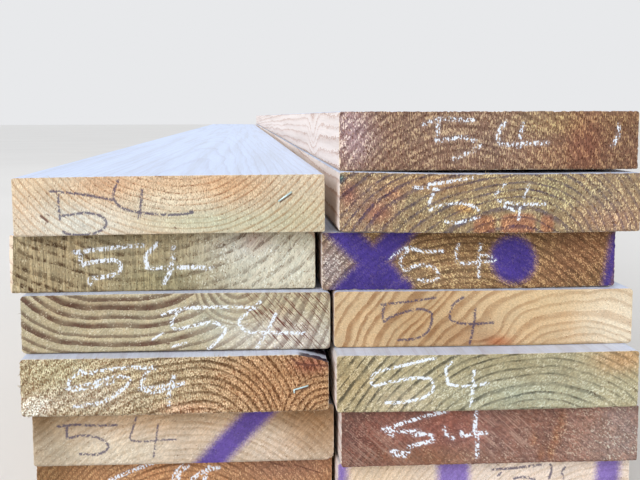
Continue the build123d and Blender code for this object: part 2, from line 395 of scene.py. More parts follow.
# Stains, and wood that is paler or darker than the rest of its near end
SPOTS = {
    "left_board_6": [
        Spot(70, 38, 24, 14, srgb(204, 168, 135), 0.7),
        Spot(135, 40, 60, 10, srgb(207, 177, 144), 0.7),
        Spot(172, 36, 26, 14, srgb(201, 166, 129), 0.7),
        Spot(48, 10, 38, 14, srgb(214, 212, 201)),
        Spot(165, 9, 50, 12, srgb(193, 191, 164)),
        Spot(222, 14, 30, 20, srgb(190, 180, 152)),
        Spot(8, 25, 14, 30, srgb(221, 199, 172), 0.7),
        Spot(124, 11, 34, 6, srgb(210, 199, 172), 0.6),
        Spot(120, 42, 70, 8, srgb(206, 178, 148), 0.5),
        Spot(8, 40, 20, 10, srgb(222, 196, 160), 0.4),
    ],
    "left_board_5": [
        Spot(24, 23, 50, 40, srgb(176, 158, 124)),
        Spot(214, 16, 60, 34, srgb(209, 208, 192), 0.9),
        Spot(176, 38, 30, 14, srgb(186, 177, 153), 0.6),
        Spot(120, 8, 30, 12, srgb(149, 143, 110), 0.7),
        Spot(194, 40, 12, 8, srgb(147, 117, 93), 0.6),
    ],
    "left_board_4": [
        Spot(24, 30, 30, 24, srgb(180, 163, 130), 0.6),
        Spot(206, 9, 46, 16, srgb(218, 214, 202), 0.95),
        Spot(150, 24, 24, 18, srgb(186, 185, 166), 0.7),
        Spot(62, 40, 26, 8, srgb(157, 136, 108), 0.5),
        Spot(80, 38, 60, 12, srgb(176, 160, 130), 0.5),
        Spot(202, 24, 9, 12, srgb(178, 154, 130), 0.4),
        Spot(224, 12, 8, 12, srgb(172, 146, 122), 0.4),
    ],
    "left_board_3": [
        Spot(204, 22, 62, 40, srgb(186, 142, 102), 0.95),
        Spot(224, 38, 15, 8, srgb(150, 106, 90), 0.85),
        Spot(9, 7, 15, 9, srgb(215, 207, 188), 0.9),
        Spot(52, 14, 34, 12, srgb(190, 177, 157), 0.6),
        Spot(125, 4, 24, 6, srgb(197, 158, 127), 0.7),
        Spot(28, 36, 26, 14, srgb(179, 169, 134), 0.7),
    ],
    "left_board_2": [
        Spot(100, 42, 170, 14, srgb(192, 163, 130), 0.9),
        Spot(6, 38, 12, 16, srgb(150, 123, 94)),
        Spot(226, 32, 30, 26, srgb(168, 135, 102), 0.85),
        Spot(196, 10, 26, 12, srgb(216, 197, 179), 0.6),
        Spot(66, 10, 40, 14, srgb(222, 212, 192), 0.7),
        Spot(200, 40, 34, 10, srgb(176, 147, 115), 0.6),
        Spot(12, 24, 30, 40, srgb(177, 161, 138), 0.95),
        Spot(232, 20, 30, 34, srgb(190, 168, 144), 0.6),
    ],
    "left_board_1": [
        Spot(4, 28, 30, 34, srgb(122, 92, 61), 0.85),
        Spot(205, 40, 50, 20, srgb(152, 110, 92), 0.7),
        Spot(118, 40, 40, 14, srgb(196, 144, 103), 0.6),
    ],
    "right_board_7": [
        Spot(6, 24, 18, 34, srgb(161, 132, 125)),
        Spot(216, 22, 60, 44, srgb(123, 90, 71), 0.9),
        Spot(168, 12, 22, 14, srgb(155, 119, 96), 0.6),
        Spot(196, 22, 16, 24, srgb(142, 93, 78), 0.6),
        Spot(130, 24, 60, 30, srgb(144, 117, 102), 0.5),
        Spot(14, 30, 20, 24, srgb(160, 132, 128), 0.6),
        Spot(170, 38, 30, 10, srgb(164, 138, 104), 0.6),
        Spot(228, 40, 20, 12, srgb(146, 116, 88), 0.5),
    ],
    "right_board_6": [
        Spot(16, 24, 30, 26, srgb(150, 121, 103)),
        Spot(32, 18, 12, 9, srgb(144, 96, 78), 0.6),
        Spot(8, 32, 7, 9, srgb(135, 79, 68), 0.6),
        Spot(44, 31, 9, 5, srgb(147, 98, 76), 0.6),
        Spot(115, 5, 9, 9.5, srgb(160, 106, 78), 0.8, 2),
        Spot(142, 6, 14.5, 10, srgb(160, 106, 80), 0.8, 3),
        Spot(165, 7, 5.5, 8, srgb(160, 106, 78), 0.8, 2),
        Spot(99, 20, 9, 4, srgb(173, 126, 76), 0.7),
        Spot(222, 8, 34, 12, srgb(157, 126, 103), 0.7),
        Spot(1.5, 44, 3.5, 4, srgb(60, 87, 87), 0.9),
        Spot(180, 32, 44, 12, srgb(148, 135, 105), 0.7),
        Spot(70, 40, 40, 8, srgb(156, 118, 89), 0.6),
        Spot(214, 26, 30, 24, srgb(156, 127, 105), 0.6),
    ],
    "right_board_5": [
        Spot(140, 40, 90, 12, srgb(123, 93, 63)),
        Spot(92, 10, 38, 14, srgb(157, 128, 96)),
        Spot(214, 30, 36, 26, srgb(131, 92, 66)),
        Spot(182, 10, 26, 14, srgb(144, 105, 75), 0.6),
        Spot(8, 20, 16, 22, srgb(158, 142, 140), 0.9),
    ],
    "right_board_4": [
        Spot(72, 22, 36, 40, srgb(183, 153, 115)),
        Spot(232, 16, 36, 34, srgb(226, 214, 192), 0.9),
        Spot(175, 38, 44, 14, srgb(213, 188, 149), 0.7),
        Spot(110, 8, 26, 12, srgb(178, 144, 111), 0.7),
        Spot(133, 3, 12, 5, srgb(184, 122, 85), 0.9),
    ],
    "right_board_3": [
        Spot(10, 26, 20, 28, srgb(165, 145, 106)),
        Spot(150, 10, 70, 14, srgb(180, 180, 152), 0.7),
        Spot(226, 40, 24, 12, srgb(182, 146, 104), 0.9),
        Spot(120, 40, 60, 12, srgb(163, 152, 116), 0.7),
        Spot(50, 10, 26, 12, srgb(191, 176, 148), 0.6),
        Spot(150, 22, 80, 40, srgb(163, 156, 128), 0.7),
    ],
    "right_board_2": [
        Spot(50, 30, 54, 24, srgb(138, 89, 77)),
        Spot(218, 18, 36, 28, srgb(156, 125, 113)),
        Spot(169, 9, 3, 7, srgb(158, 106, 77), 0.7),
        Spot(173, 22, 3, 8, srgb(158, 106, 77), 0.7),
        Spot(112, 12, 40, 12, srgb(147, 114, 105), 0.6),
        Spot(178, 35, 3.5, 8, srgb(158, 106, 77), 0.7),
        Spot(155, 20, 3, 6, srgb(158, 106, 77), 0.6),
        Spot(161, 8, 3, 6, srgb(158, 106, 77), 0.6),
        Spot(8, 18, 26, 30, srgb(118, 84, 74), 0.85),
        Spot(232, 20, 26, 34, srgb(148, 120, 110), 0.7),
        Spot(70, 8, 44, 10, srgb(132, 96, 68), 0.6),
        Spot(96, 30, 30, 20, srgb(140, 92, 82), 0.6),
    ],
    "right_board_1": [
        Spot(30, 30, 46, 40, srgb(219, 197, 169)),
    ],
}

# Places on a near end where the saw lines, scratches, dark bands, flecks or pits show more or less
PATCHES = {
    "left_board_6": [
        Patch(FLECKS, 122, 34, 74, 13, 2.0),
        Patch(PITS, 122, 32, 80, 18, 0.9),
        Patch(BANDS, 110, 30, 46, 26, -0.6),
        Patch(BANDS, 205, 30, 40, 40, 0.2),
    ],
    "left_board_5": [
        Patch(SAW_LINES, 236, 23, 100, 60, -0.95),
        Patch(SCRATCHES, 216, 22, 44, 40, 0.8),
        Patch(BANDS, 222, 10, 70, 26, -0.4),
        Patch(BANDS, 110, 20, 36, 40, -0.4),
        Patch(BANDS, 40, 22, 50, 50, 0.2),
        Patch(FLECKS, 220, 22, 70, 40, -0.5),
        Patch(FLECKS, 50, 22, 90, 60, -0.6),
    ],
    "left_board_4": [
        Patch(SCRATCHES, 190, 40, 15, 15, 0.95),
        Patch(SCRATCHES, 212, 24, 30, 30, 0.8),
        Patch(PITS, 206, 20, 30, 26, 0.3),
        Patch(SAW_LINES, 208, 22, 28, 26, 1.4),
        Patch(SCRATCHES, 206, 22, 16, 16, 0.95),
        Patch(SCRATCHES, 223, 5, 15, 13, 0.5),
        Patch(SCRATCHES, 232, 40, 12, 14, 0.8),
        Patch(BANDS, 205, 22, 50, 40, -0.35),
        Patch(BANDS, 165, 24, 34, 26, -0.3),
    ],
    "left_board_3": [
        Patch(BANDS, 30, 24, 90, 60, -0.8),
        Patch(FLECKS, 210, 24, 60, 50, -0.4),
    ],
    "left_board_2": [Patch(BANDS, 60, 10, 60, 20, -0.4)],
    "left_board_1": [Patch(BANDS, 212, 40, 54, 30, -0.5), Patch(BANDS, 24, 36, 40, 40, -0.4)],
    "right_board_7": [Patch(BANDS, 220, 23, 60, 50, -0.6)],
    "right_board_6": [Patch(BANDS, 222, 23, 40, 50, -0.4)],
    "right_board_5": [Patch(BANDS, 210, 40, 50, 20, -0.3)],
    "right_board_4": [Patch(BANDS, 205, 26, 60, 40, -0.4), Patch(BANDS, 40, 22, 60, 60, 0.15)],
    "right_board_3": [
        Patch(BANDS, 210, 34, 50, 20, -0.4),
        Patch(BANDS, 24, 22, 44, 50, 0.5),
        Patch(BANDS, 120, 36, 60, 14, 0.3),
        Patch(PITS, 190, 10, 60, 12, 0.5),
    ],
    "right_board_2": [
        Patch(SCRATCHES, 24, 14, 44, 26, 0.4),
        Patch(SCRATCHES, 130, 24, 26, 30, 0.75),
        Patch(SCRATCHES, 196, 16, 20, 24, 0.4),
        Patch(SAW_LINES, 40, 20, 60, 50, -0.5),
        Patch(FLECKS, 190, 20, 50, 40, 0.8),
        Patch(FLECKS, 16, 16, 18, 30, 0.9),
    ],
}


# Settings

def number_setting(name, description, default=0.0, **limits):
    return FloatProperty(name=name, description=description, default=default, **limits)


def length_setting(name, description, default):
    return number_setting(name, description, default, unit="LENGTH", precision=4)


def angle_setting(name, description, degrees):
    return number_setting(name, description, math.radians(degrees), subtype="ANGLE")


def factor_setting(name, description, default=0.0):
    return number_setting(name, description, default, subtype="FACTOR", min=0, max=1)


def colour_setting(name, description, default=(0.8, 0.8, 0.8)):
    return FloatVectorProperty(
        name=name, description=description, subtype="COLOR", size=3, min=0, max=1, default=default)


class LumberBoardLook(bpy.types.PropertyGroup):
    """How one board's wood and its sawn ends look. Lengths are in millimetres."""

    wood: colour_setting("Wood", "Colour of the light wood between the bands")
    band: colour_setting("Band", "Colour of the dark band at the end of each ring")
    fleck: colour_setting("Fleck", "Colour of the torn fibres that catch the light")
    pith_across: number_setting("Pith Across", "The log's centre, from the left edge in mm")
    pith_height: number_setting("Pith Height", "The log's centre, above the underside in mm")
    lean: number_setting("Lean", "How far the log's centre rises along the board in mm per metre")
    squareness: number_setting("Squareness", "Shape of the rings; 2 is round and more is flatter", 2)
    spacing: number_setting("Spacing", "From ring to ring in mm", 5, min=0.5)
    left_spread: number_setting("Left Spread", "Below 1, rings left of the pith lie flatter", 1)
    right_spread: number_setting("Right Spread", "Below 1, rings right of the pith lie flatter", 1)
    phase: number_setting("Phase", "Moves every ring towards the pith, in rings")
    uneven: number_setting("Uneven", "How much wide and narrow rings alternate", 1.3, min=0)
    waver: number_setting("Waver", "How far the rings wander from true arcs in mm", min=0)
    ragged: number_setting("Ragged", "How far torn fibres roughen a ring's edges in mm", 0.4)
    fading: factor_setting("Fading", "How far a dark band pales here and there along its ring", 0.5)
    band_strength: factor_setting("Band Strength", "How strongly the dark bands show")
    band_share: factor_setting("Band Share", "Share of each ring that its dark band takes", 0.4)
    patchy: factor_setting("Patchy", "How far the dark bands break into patches")
    torn: factor_setting("Torn", "How far the saw tore the end, from clean to hairy")
    flecked: factor_setting("Flecked", "How many torn fibres catch the light")
    pitted: factor_setting("Pitted", "How many dark pits lie between the fibres")
    stretch: number_setting("Stretch", "Length of the torn bits along the saw's cut, as a factor", 1)
    mottled: number_setting("Mottled", "How far the colour drifts from place to place", 0.8)
    saw_angle: number_setting("Saw Angle", "Lean of the saw lines from upright in degrees")
    saw_pitch: number_setting("Saw Pitch", "From saw line to saw line in mm", 1.5, min=0.2)
    saw_strength: factor_setting("Saw Strength", "How strongly the saw lines show")
    scratch: colour_setting("Scratch", "Colour of the scratches across the saw lines")
    scratch_angle: number_setting("Scratch Angle", "Lean of the scratches from upright in degrees")
    chalk_break: factor_setting("Chalk Break", "How much of a chalk stroke the rough end leaves bare")
    chalk_spread: number_setting("Chalk Spread", "How far the chalk crumbled beside its strokes in mm")
    combed: factor_setting("Combed", "How far chalk sits on the ridges between saw lines only", 0.3)
    paint: colour_setting("Paint", "Colour of the sprayed marks", srgb(86, 70, 138))
    paint_cover: factor_setting("Paint Cover", "How densely the sprayed marks cover the wood", 0.94)
    splinters: IntProperty(name="Splinters", description="Loose splinters round the near end", min=0)
    knot_across: number_setting("Knot Across", "Middle of a knot's bend in the rings, from the left in mm")
    knot_height: number_setting("Knot Height", "Middle of that bend, above the underside in mm")
    knot_along: number_setting("Knot Along", "Middle of that bend, from the near end in mm")
    knot_reach: number_setting("Knot Reach", "How far the bend reaches in mm", 10, min=1)
    knot_push: number_setting("Knot Push", "How far the rings are pushed outwards in mm")
    knot_rings: factor_setting("Knot Rings", "How far the knot has rings of its own in place of the bend")


class LumberSettings(bpy.types.PropertyGroup):
    """Sizes and colours that all boards share."""

    mesh_step: length_setting("Mesh Step", "Size of the mesh's squares on the near ends", 0.8 * MM)
    relief: length_setting("Relief", "Depth of the hollows that the saw leaves in a torn end", 0.5 * MM)
    planed_top: colour_setting("Planed Top", "Upper faces, seen square on", srgb(224, 214, 198))
    planed_side: colour_setting("Planed Side", "Other planed faces, seen square on", srgb(232, 216, 194))
    # Painted reflection: the two sheens and the sheen line are colours a face turns to as it is seen along
    # its length, standing in for reflected light, bluish sky light on the upper faces
    painted_top_sheen: colour_setting("Top Sheen", "Upper faces, seen along", srgb(208, 223, 253))
    painted_side_sheen: colour_setting("Side Sheen", "Other planed faces, seen along", srgb(243, 235, 234))
    growth_line: colour_setting("Growth Line", "Growth lines on the planed faces", srgb(182, 140, 120))
    painted_sheen_line: colour_setting("Sheen Line", "Growth lines on upper faces, seen along", srgb(182, 188, 214))
    chalk: colour_setting("Chalk", "Colour of the chalk marks", srgb(230, 238, 250))
    pencil: colour_setting("Pencil", "Colour of the pencil marks", srgb(62, 58, 90))
    # Also the colour of the painted shadows under the staples and below the bark, drawn with the same strokes
    cut: colour_setting("Cut", "Colour inside nicks and cracks", srgb(92, 54, 44))
    bark: colour_setting("Bark", "Colour of the bark left on one edge", srgb(26, 28, 46))
    # Painted highlight: a pale bluish strip on the bark just behind the end, standing in for sky light on it
    painted_bark_highlight: colour_setting("Peeled", "Where the bark has peeled, just behind the end", srgb(214, 224, 246))


class LumberStapleSettings(bpy.types.PropertyGroup):
    """The wire staples that held length tags."""

    wire: length_setting("Wire", "Thickness of the staple's wire", 1.3 * MM)
    # The wire's own brightness, with a pale cyan tint that is a painted reflection of the sky
    colour: colour_setting("Wire Colour", "Colour of the bright wire", srgb(206, 230, 234))


class LumberStageSettings(bpy.types.PropertyGroup):
    """Floor, light and camera."""

    floor: colour_setting("Floor", "Colour of the floor", srgb(222, 222, 222))
    backdrop: colour_setting("Backdrop", "Colour behind the stack", srgb(232, 233, 235))
    sky: number_setting("Sky", "Strength of the light from all round", 0.7, min=0)
    lamp: number_setting("Lamp", "Strength of the soft light from before the stack", 2.2, min=0)
    lamp_spread: angle_setting("Lamp Spread", "How wide the soft light is, seen from the stack", 40)
    top_lamp: number_setting("Top Lamp", "Strength of the long lamp over the stack", 30, unit="POWER", min=0)
    eye: FloatVectorProperty(name="Eye", description="Place of the camera", subtype="TRANSLATION",
                             unit="LENGTH", default=(-0.0646, -3.5344, 0.3239))
    heading: angle_setting("Heading", "Turn of the camera to the right", 4.04)
    dip: angle_setting("Dip", "How far the camera looks down", 6.59)
    roll: angle_setting("Roll", "Turn of the camera about its view", 0.143)
    lens: number_setting("Lens", "Focal length on a sensor 36 mm wide", 60.38, min=1,
                         subtype="DISTANCE_CAMERA")


# Tools for node trees

class Value:
    """A number, place or colour in a node tree. Arithmetic with numbers adds the nodes for it."""

    def __init__(self, bench, socket):
        self.bench = bench
        self.socket = socket

    def __abs__(self):
        return self.bench.math("ABSOLUTE", self)

    def __add__(self, other):
        return self.bench.math("ADD", self, other)

    def __radd__(self, other):
        return self.bench.math("ADD", other, self)

    def __sub__(self, other):
        return self.bench.math("SUBTRACT", self, other)

    def __rsub__(self, other):
        return self.bench.math("SUBTRACT", other, self)

    def __mul__(self, other):
        return self.bench.math("MULTIPLY", self, other)

    def __rmul__(self, other):
        return self.bench.math("MULTIPLY", other, self)

    def __truediv__(self, other):
        return self.bench.math("DIVIDE", self, other)

    def __rtruediv__(self, other):
        return self.bench.math("DIVIDE", other, self)

    def __pow__(self, other):
        return self.bench.math("POWER", self, other)


class Bench:
    """Adds nodes to one tree, so that a pattern reads as a formula."""

    COLUMNS, STEP_X, STEP_Y = 10, 190, 260

    def __init__(self, tree):
        self.tree = tree

    def add(self, kind, *values, **settings):
        """A node, with its first inputs fed and its settings made."""
        node = self.tree.nodes.new("ShaderNode" + kind)
        count = len(self.tree.nodes)
        node.location = (count % self.COLUMNS * self.STEP_X, -(count // self.COLUMNS) * self.STEP_Y)
        for name, value in settings.items():
            setattr(node, name, value)
        for socket, value in zip(node.inputs, values):
            self.feed(socket, value)
        return node

    def feed(self, socket, value):
        if isinstance(value, Value):
            self.tree.links.new(value.socket, socket)
        elif socket.type == "RGBA" and len(value) == 3:
            socket.default_value = (*value, 1)
        else:
            socket.default_value = value

    def read(self, node, output=0):
        return Value(self, node.outputs[output])

    def math(self, operation, *values):
        return self.read(self.add("Math", *values, operation=operation))

    def vector(self, operation, *values):
        return self.read(self.add("VectorMath", *values, operation=operation))

    def split(self, place):
        node = self.add("SeparateXYZ", place)
        return [self.read(node, i) for i in range(3)]

    def join(self, x, y, z):
        return self.read(self.add("CombineXYZ", x, y, z))

    def scaled(self, place, size, shift=0.0):
        """A place divided by a size in each direction, and moved to another part of a pattern."""
        return self.vector("ADD", self.vector("DIVIDE", place, size), self.join(shift, shift, shift))

    def noise(self, place, detail=1.0, roughness=0.5, output="Fac"):
        """Noise from 0 to 1, as a number or, with the output Color, as three."""
        node = self.add("TexNoise", noise_dimensions="3D")
        for name, value in (("Vector", place), ("Scale", 1), ("Detail", detail), ("Roughness", roughness)):
            self.feed(node.inputs[name], value)
        return self.read(node, output)

    def ease(self, value, start, stop, low=0.0, high=1.0):
        """A smooth change from low to high while the value goes from start to stop."""
        return self.read(self.add("MapRange", value, start, stop, low, high, interpolation_type="SMOOTHSTEP"))

    def blend(self, share, first, second):
        """A number between two others."""
        node = self.add("Mix", share, data_type="FLOAT")
        self.feed(node.inputs["A"], first)
        self.feed(node.inputs["B"], second)
        return self.read(node, "Result")

    def mix(self, share, first, second, blend="MIX"):
        """A colour between two others."""
        node = self.add("Mix", data_type="RGBA", blend_type=blend)
        for index, value in ((0, share), (6, first), (7, second)):
            self.feed(node.inputs[index], value)
        return self.read(node, 2)

    def tinted(self, colour, tint):
        return self.mix(1.0, colour, tint, "MULTIPLY")

    def stained(self, share, colour, tint):
        """A colour, tinted as far as a share says."""
        return self.mix(share, colour, self.tinted(colour, tint))

    def times(self, value, factor):
        """A place or colour with each of its parts multiplied by one number."""
        node = self.add("VectorMath", value, operation="SCALE")
        self.feed(node.inputs["Scale"], factor)
        return self.read(node)

    def turned(self, place, degrees):
        """A place turned in the plane of the board's ends."""
        node = self.add("VectorRotate", rotation_type="Y_AXIS")
        self.feed(node.inputs["Vector"], place)
        self.feed(node.inputs["Angle"], self.math("MULTIPLY", degrees, math.pi / 180))
        return self.read(node)

    def carried(self, name, output="Fac"):
        """A number or colour that the mesh carries."""
        return self.read(self.add("Attribute", attribute_name=name, attribute_type="GEOMETRY"), output)

    def group(self, tree, **values):
        """A node group's outputs. Inputs and outputs go by their sockets' names in code form."""
        node = self.add("Group", node_tree=tree)
        for key, value in values.items():
            self.feed(node.inputs[socket_name(key)], value)
        return SimpleNamespace(**{socket.name.lower(): Value(self, socket) for socket in node.outputs})


def socket_name(key):
    return key.replace("_", " ").title()


def new_group(name, numbers=(), colours=(), **inputs):
    """An empty node group with named sockets, as (group, bench, its inputs, its output sockets)."""
    group = bpy.data.node_groups.new(name, "ShaderNodeTree")
    for key, value in inputs.items():
        kind = "NodeSocketVector" if isinstance(value, tuple) else "NodeSocketFloat"
        socket = group.interface.new_socket(socket_name(key), in_out="INPUT", socket_type=kind)
        socket.default_value = value
    for keys, kind in ((numbers, "NodeSocketFloat"), (colours, "NodeSocketColor")):
        for key in keys:
            group.interface.new_socket(socket_name(key), in_out="OUTPUT", socket_type=kind)
    b = Bench(group)
    start = group.nodes.new("NodeGroupInput")
    stop = group.nodes.new("NodeGroupOutput")
    given = SimpleNamespace(**{key: b.read(start, socket_name(key)) for key in inputs})
    return group, b, given, stop.inputs


# Effects that several materials share. Their sizes are millimetres across, along and up the board;
# on a sawn end, across and along the saw's cut.

ORIGIN = (0, 0, 0)
RING_INPUTS = (
    "pith_across", "pith_height", "lean", "left_spread", "right_spread", "squareness", "spacing", "phase",
    "uneven", "waver", "ragged", "fading", "band_share",
    "knot_across", "knot_height", "knot_along", "knot_reach", "knot_push", "knot_rings")
WANDER, WANDER_SIZE = 3.0, (52, 300, 52)
TREMBLE, TREMBLE_SIZE = 0.45, (11, 60, 11)
TORN_RIM, TORN_RIM_SIZE = 3.0, (1.2, 14, 2.2)
PALING_SIZE = (15, 150, 9)
KNOT_LENGTH, KNOT_RING_SCALE = 2.5, 1.3  # a knot's reach along the board over that across it; its own rings
BAND_END = 0.96  # share of a ring's width where its dark band is over
YEARS_ALIKE = 2.3  # rings that go by before their width has changed


def knot_bend(b, given, place, shift, radius):
    """Bends a ring's radius round a knot, or gives the knot rings of its own."""
    x, y, z = place
    off_x = (x - given.knot_across + shift * 0.8) / given.knot_reach
    off_z = (z - given.knot_height) / given.knot_reach
    off_y = (y - given.knot_along) / (given.knot_reach * KNOT_LENGTH)
    off = off_x * off_x + off_z * off_z + off_y * off_y
    radius = radius - b.math("EXPONENT", off * -1) * given.knot_push
    inside = given.knot_rings * b.ease(off, 0.99, 1.01, 1.0, 0.0)
    return b.blend(inside, radius, b.math("SQRT", off) * (given.knot_reach * KNOT_RING_SCALE))


def ring_radius(b, given):
    """Distance from the log's centre, which runs along the board and wanders a little."""
    place = x, y, z = b.split(given.place)
    wander = b.noise(b.scaled(given.place, WANDER_SIZE, given.seed), 1.5, output="Color")
    tremble = b.noise(b.scaled(given.place, TREMBLE_SIZE, given.seed), 1.0, output="Color")
    middle = ((WANDER + TREMBLE) / 2,) * 3
    off = b.vector("SUBTRACT", b.vector("ADD", b.times(wander, WANDER), b.times(tremble, TREMBLE)), middle)
    shift_x, _, shift_z = b.split(b.times(off, given.waver))
    pith = given.pith_height + given.lean * (y / 1000)
    across = x - given.pith_across + shift_x
    up = z - pith + shift_z
    spread = b.blend(b.math("LESS_THAN", across, 0), given.right_spread, given.left_spread)
    power = given.squareness
    radius = (abs(across * spread) ** power + abs(up) ** power) ** (1 / power)
    radius = knot_bend(b, given, place, shift_z, radius)
    torn = b.noise(b.scaled(given.place, TORN_RIM_SIZE, given.seed), 1.0)
    return radius + (torn - 0.5) * (given.ragged * TORN_RIM)


def growth_rings():
    """Rings round the log's centre: their dark bands, the thin growth lines, and each ring's own tone."""
    defaults = {key: LumberBoardLook.bl_rna.properties[key].default for key in RING_INPUTS}
    group, b, given, out = new_group(
        "Growth Rings", ("band", "line", "tone"), place=ORIGIN, seed=0, **defaults)
    steps = ring_radius(b, given) / given.spacing
    years = b.noise(b.join(steps / YEARS_ALIKE, given.seed, 0.5), 0.0)
    steps = steps + (given.phase + years * given.uneven)
    chance = b.add("TexWhiteNoise", noise_dimensions="1D")
    b.feed(chance.inputs["W"], b.math("FLOOR", steps) + given.seed)
    tone = b.read(chance, "Value")
    season = b.math("FRACT", steps)  # from 0 in spring to 1 in autumn, when the dark band grows
    share = given.band_share * (0.65 + tone * 0.7)
    turn = BAND_END - share
    ending = b.ease(season, 0.95, 1.0, 1.0, 0.0)
    pale = b.noise(b.scaled(given.place, PALING_SIZE, given.seed + 7.0), 1.5)
    depth = (0.72 + tone * 0.28) * b.blend(given.fading, 1.0, b.ease(pale, 0.36, 0.64, 0.2, 1.05))
    b.feed(out["Band"], b.ease(season, turn, turn + share * 0.6) * ending * depth)
    b.feed(out["Line"], b.ease(season, 0.74, 0.92) * ending * depth)
    b.feed(out["Tone"], tone)
    return group


SAW_LINE_LENGTH = 26
SWELL_SIZE = (20, 22)  # where the saw lines show more or less
FIBRE_SIZE, FLECK_SIZE = (0.85, 1, 1.8), (0.8, 1, 1.7)
CROWD_SIZE = (7, 7, 9)  # where flecks crowd together
PIT_SIZE = (1.3, 1.3, 1.6)
BLOCK_SIZE = (3.6, 3.6, 7.5)
SCRATCH_SIZE, SCRATCH_BREAK_SIZE = (0.9, 34), (2.5, 11)
TOOTH_SIZE = (1.5, 1.5, 2.3)
BROAD_MOTTLE, BROAD_MOTTLE_SIZE = 0.55, (20, 20, 20)
FINE_MOTTLE, FINE_MOTTLE_SIZE = 0.45, (2.6, 2.6, 3.2)


def streaks(b, x, z, size, seed, detail=1.0, roughness=0.5):
    """Noise in streaks along the cut, of a size across and along it."""
    across, along = size
    return b.noise(b.join(x / across, seed, z / along), detail, roughness)


def specks(b, noise, bar):
    """The peaks of a noise that pass a bar."""
    return b.ease(noise - bar, 0.0, 0.06)


def mottle(b, place, seed):
    """A colour that drifts between light and dark and, less, between warm and cold."""
    broad = b.noise(b.scaled(place, BROAD_MOTTLE_SIZE, seed), 2.0, output="Color")
    fine = b.noise(b.scaled(place, FINE_MOTTLE_SIZE, seed), 1.0, output="Color")
    light, warm, _ = b.split(b.vector("ADD", b.times(broad, BROAD_MOTTLE), b.times(fine, FINE_MOTTLE)))
    warm = (warm - 0.5) * 0.4
    return b.join(light + warm, light, light - warm)


def sawn_end():
    """What a saw leaves across the grain: lines along its cut, scratches, and torn fibres between them."""
    group, b, given, out = new_group(
        "Sawn End", ("lines", "fibres", "flecks", "pits", "blocks", "scratches", "tooth"), ("mottle",),
        place=ORIGIN, angle=0, pitch=1.5, scratch_angle=45, flecked=0.3, pitted=0.3, combed=0.3, stretch=1,
        seed=0)
    seed = given.seed * 3.7
    place = b.turned(given.place, given.angle)
    x, _, z = b.split(place)
    lines = streaks(b, x, z, (given.pitch, SAW_LINE_LENGTH), seed, 2.0, 0.65)
    lines = b.ease(lines, 0.38, 0.62) * b.ease(streaks(b, x, z, SWELL_SIZE, seed), 0.38, 0.6, 0.35, 1.0)
    b.feed(out["Lines"], lines)

    bits = b.join(x, seed, z / given.stretch)
    b.feed(out["Fibres"], b.ease(b.noise(b.scaled(bits, FIBRE_SIZE), 2.5, 0.65), 0.32, 0.68))
    crowd = b.ease(b.noise(b.scaled(place, CROWD_SIZE, seed + 3.0)), 0.3, 0.7, 0.06, -0.06)
    flecks = b.noise(b.scaled(bits, FLECK_SIZE, 9.0))
    b.feed(out["Flecks"], specks(b, flecks, 0.7 + crowd - given.flecked * 0.26))
    pits = b.noise(b.scaled(place, PIT_SIZE, seed + 21.0))
    b.feed(out["Pits"], specks(b, pits, 0.7 - given.pitted * 0.18))
    b.feed(out["Blocks"], b.ease(b.noise(b.scaled(place, BLOCK_SIZE, seed + 33.0), 2.0), 0.42, 0.56))
    tooth = b.ease(b.noise(b.scaled(place, TOOTH_SIZE, seed + 41.0), 1.5, 0.6), 0.3, 0.7)
    b.feed(out["Tooth"], b.blend(given.combed, tooth, lines))

    x, _, z = b.split(b.turned(given.place, given.scratch_angle))
    broken = b.ease(streaks(b, x, z, SCRATCH_BREAK_SIZE, seed), 0.4, 0.56, 0.15, 1.0)
    b.feed(out["Scratches"], b.ease(streaks(b, x, z, SCRATCH_SIZE, seed), 0.48, 0.58) * broken)
    b.feed(out["Mottle"], mottle(b, given.place, seed))
    return group


STROKE_FRAY_SIZE = (1.2, 1.2, 1.2)
WEAR_SIZE = (7, 30, 7)
GRAIN_SIZE, BLOTCH_SIZE, RIPPLE_SIZE = (0.9, 70, 0.9), (16, 900, 16), (60, 5.5, 60)


def drawn_line():
    """Coverage of a mark from the distance to its edge, broken where the wood lies low."""
    group, b, given, out = new_group(
        "Drawn Line", ("mask",), place=ORIGIN, distance=FAR, softness=0.4, height=0.5, gaps=0, fray=0.8)
    rough = b.noise(b.scaled(given.place, STROKE_FRAY_SIZE), 2.0, 0.6)
    edge = given.distance + (rough - 0.5) * given.fray
    cover = b.ease(edge, given.softness * -1, given.softness, 1.0, 0.0)
    bare = given.gaps - 0.06
    b.feed(out["Mask"], cover * b.ease(given.height, bare, bare + 0.12))
    return group


def edge_wear():
    """Where handling has rubbed an edge; on the ends the same share also places a painted highlight on the
    arris.
    """
    group, b, given, out = new_group("Edge Wear", ("wear",), place=ORIGIN, distance=FAR, width=1.5, seed=0)
    patchy = b.noise(b.scaled(given.place, WEAR_SIZE, given.seed), 3.0, 0.6)
    width = given.width * b.ease(patchy, 0.3, 0.7, 0.2, 1.4)
    b.feed(out["Wear"], b.ease(given.distance, width * 0.25, width, 1.0, 0.0))
    return group


def planed_grain():
    """Fibres along a planed face, the blotches that weather leaves on it, and the planer's ripple."""
    group, b, given, out = new_group(
        "Planed Grain", ("fibres", "blotches", "ripple"), place=ORIGIN, seed=0)
    b.feed(out["Fibres"], b.noise(b.scaled(given.place, GRAIN_SIZE, given.seed), 3.0, 0.6))
    b.feed(out["Blotches"], b.noise(b.scaled(given.place, BLOTCH_SIZE, given.seed), 3.0, 0.55))
    b.feed(out["Ripple"], b.noise(b.scaled(given.place, RIPPLE_SIZE, given.seed), 0.0))
    return group


# Materials

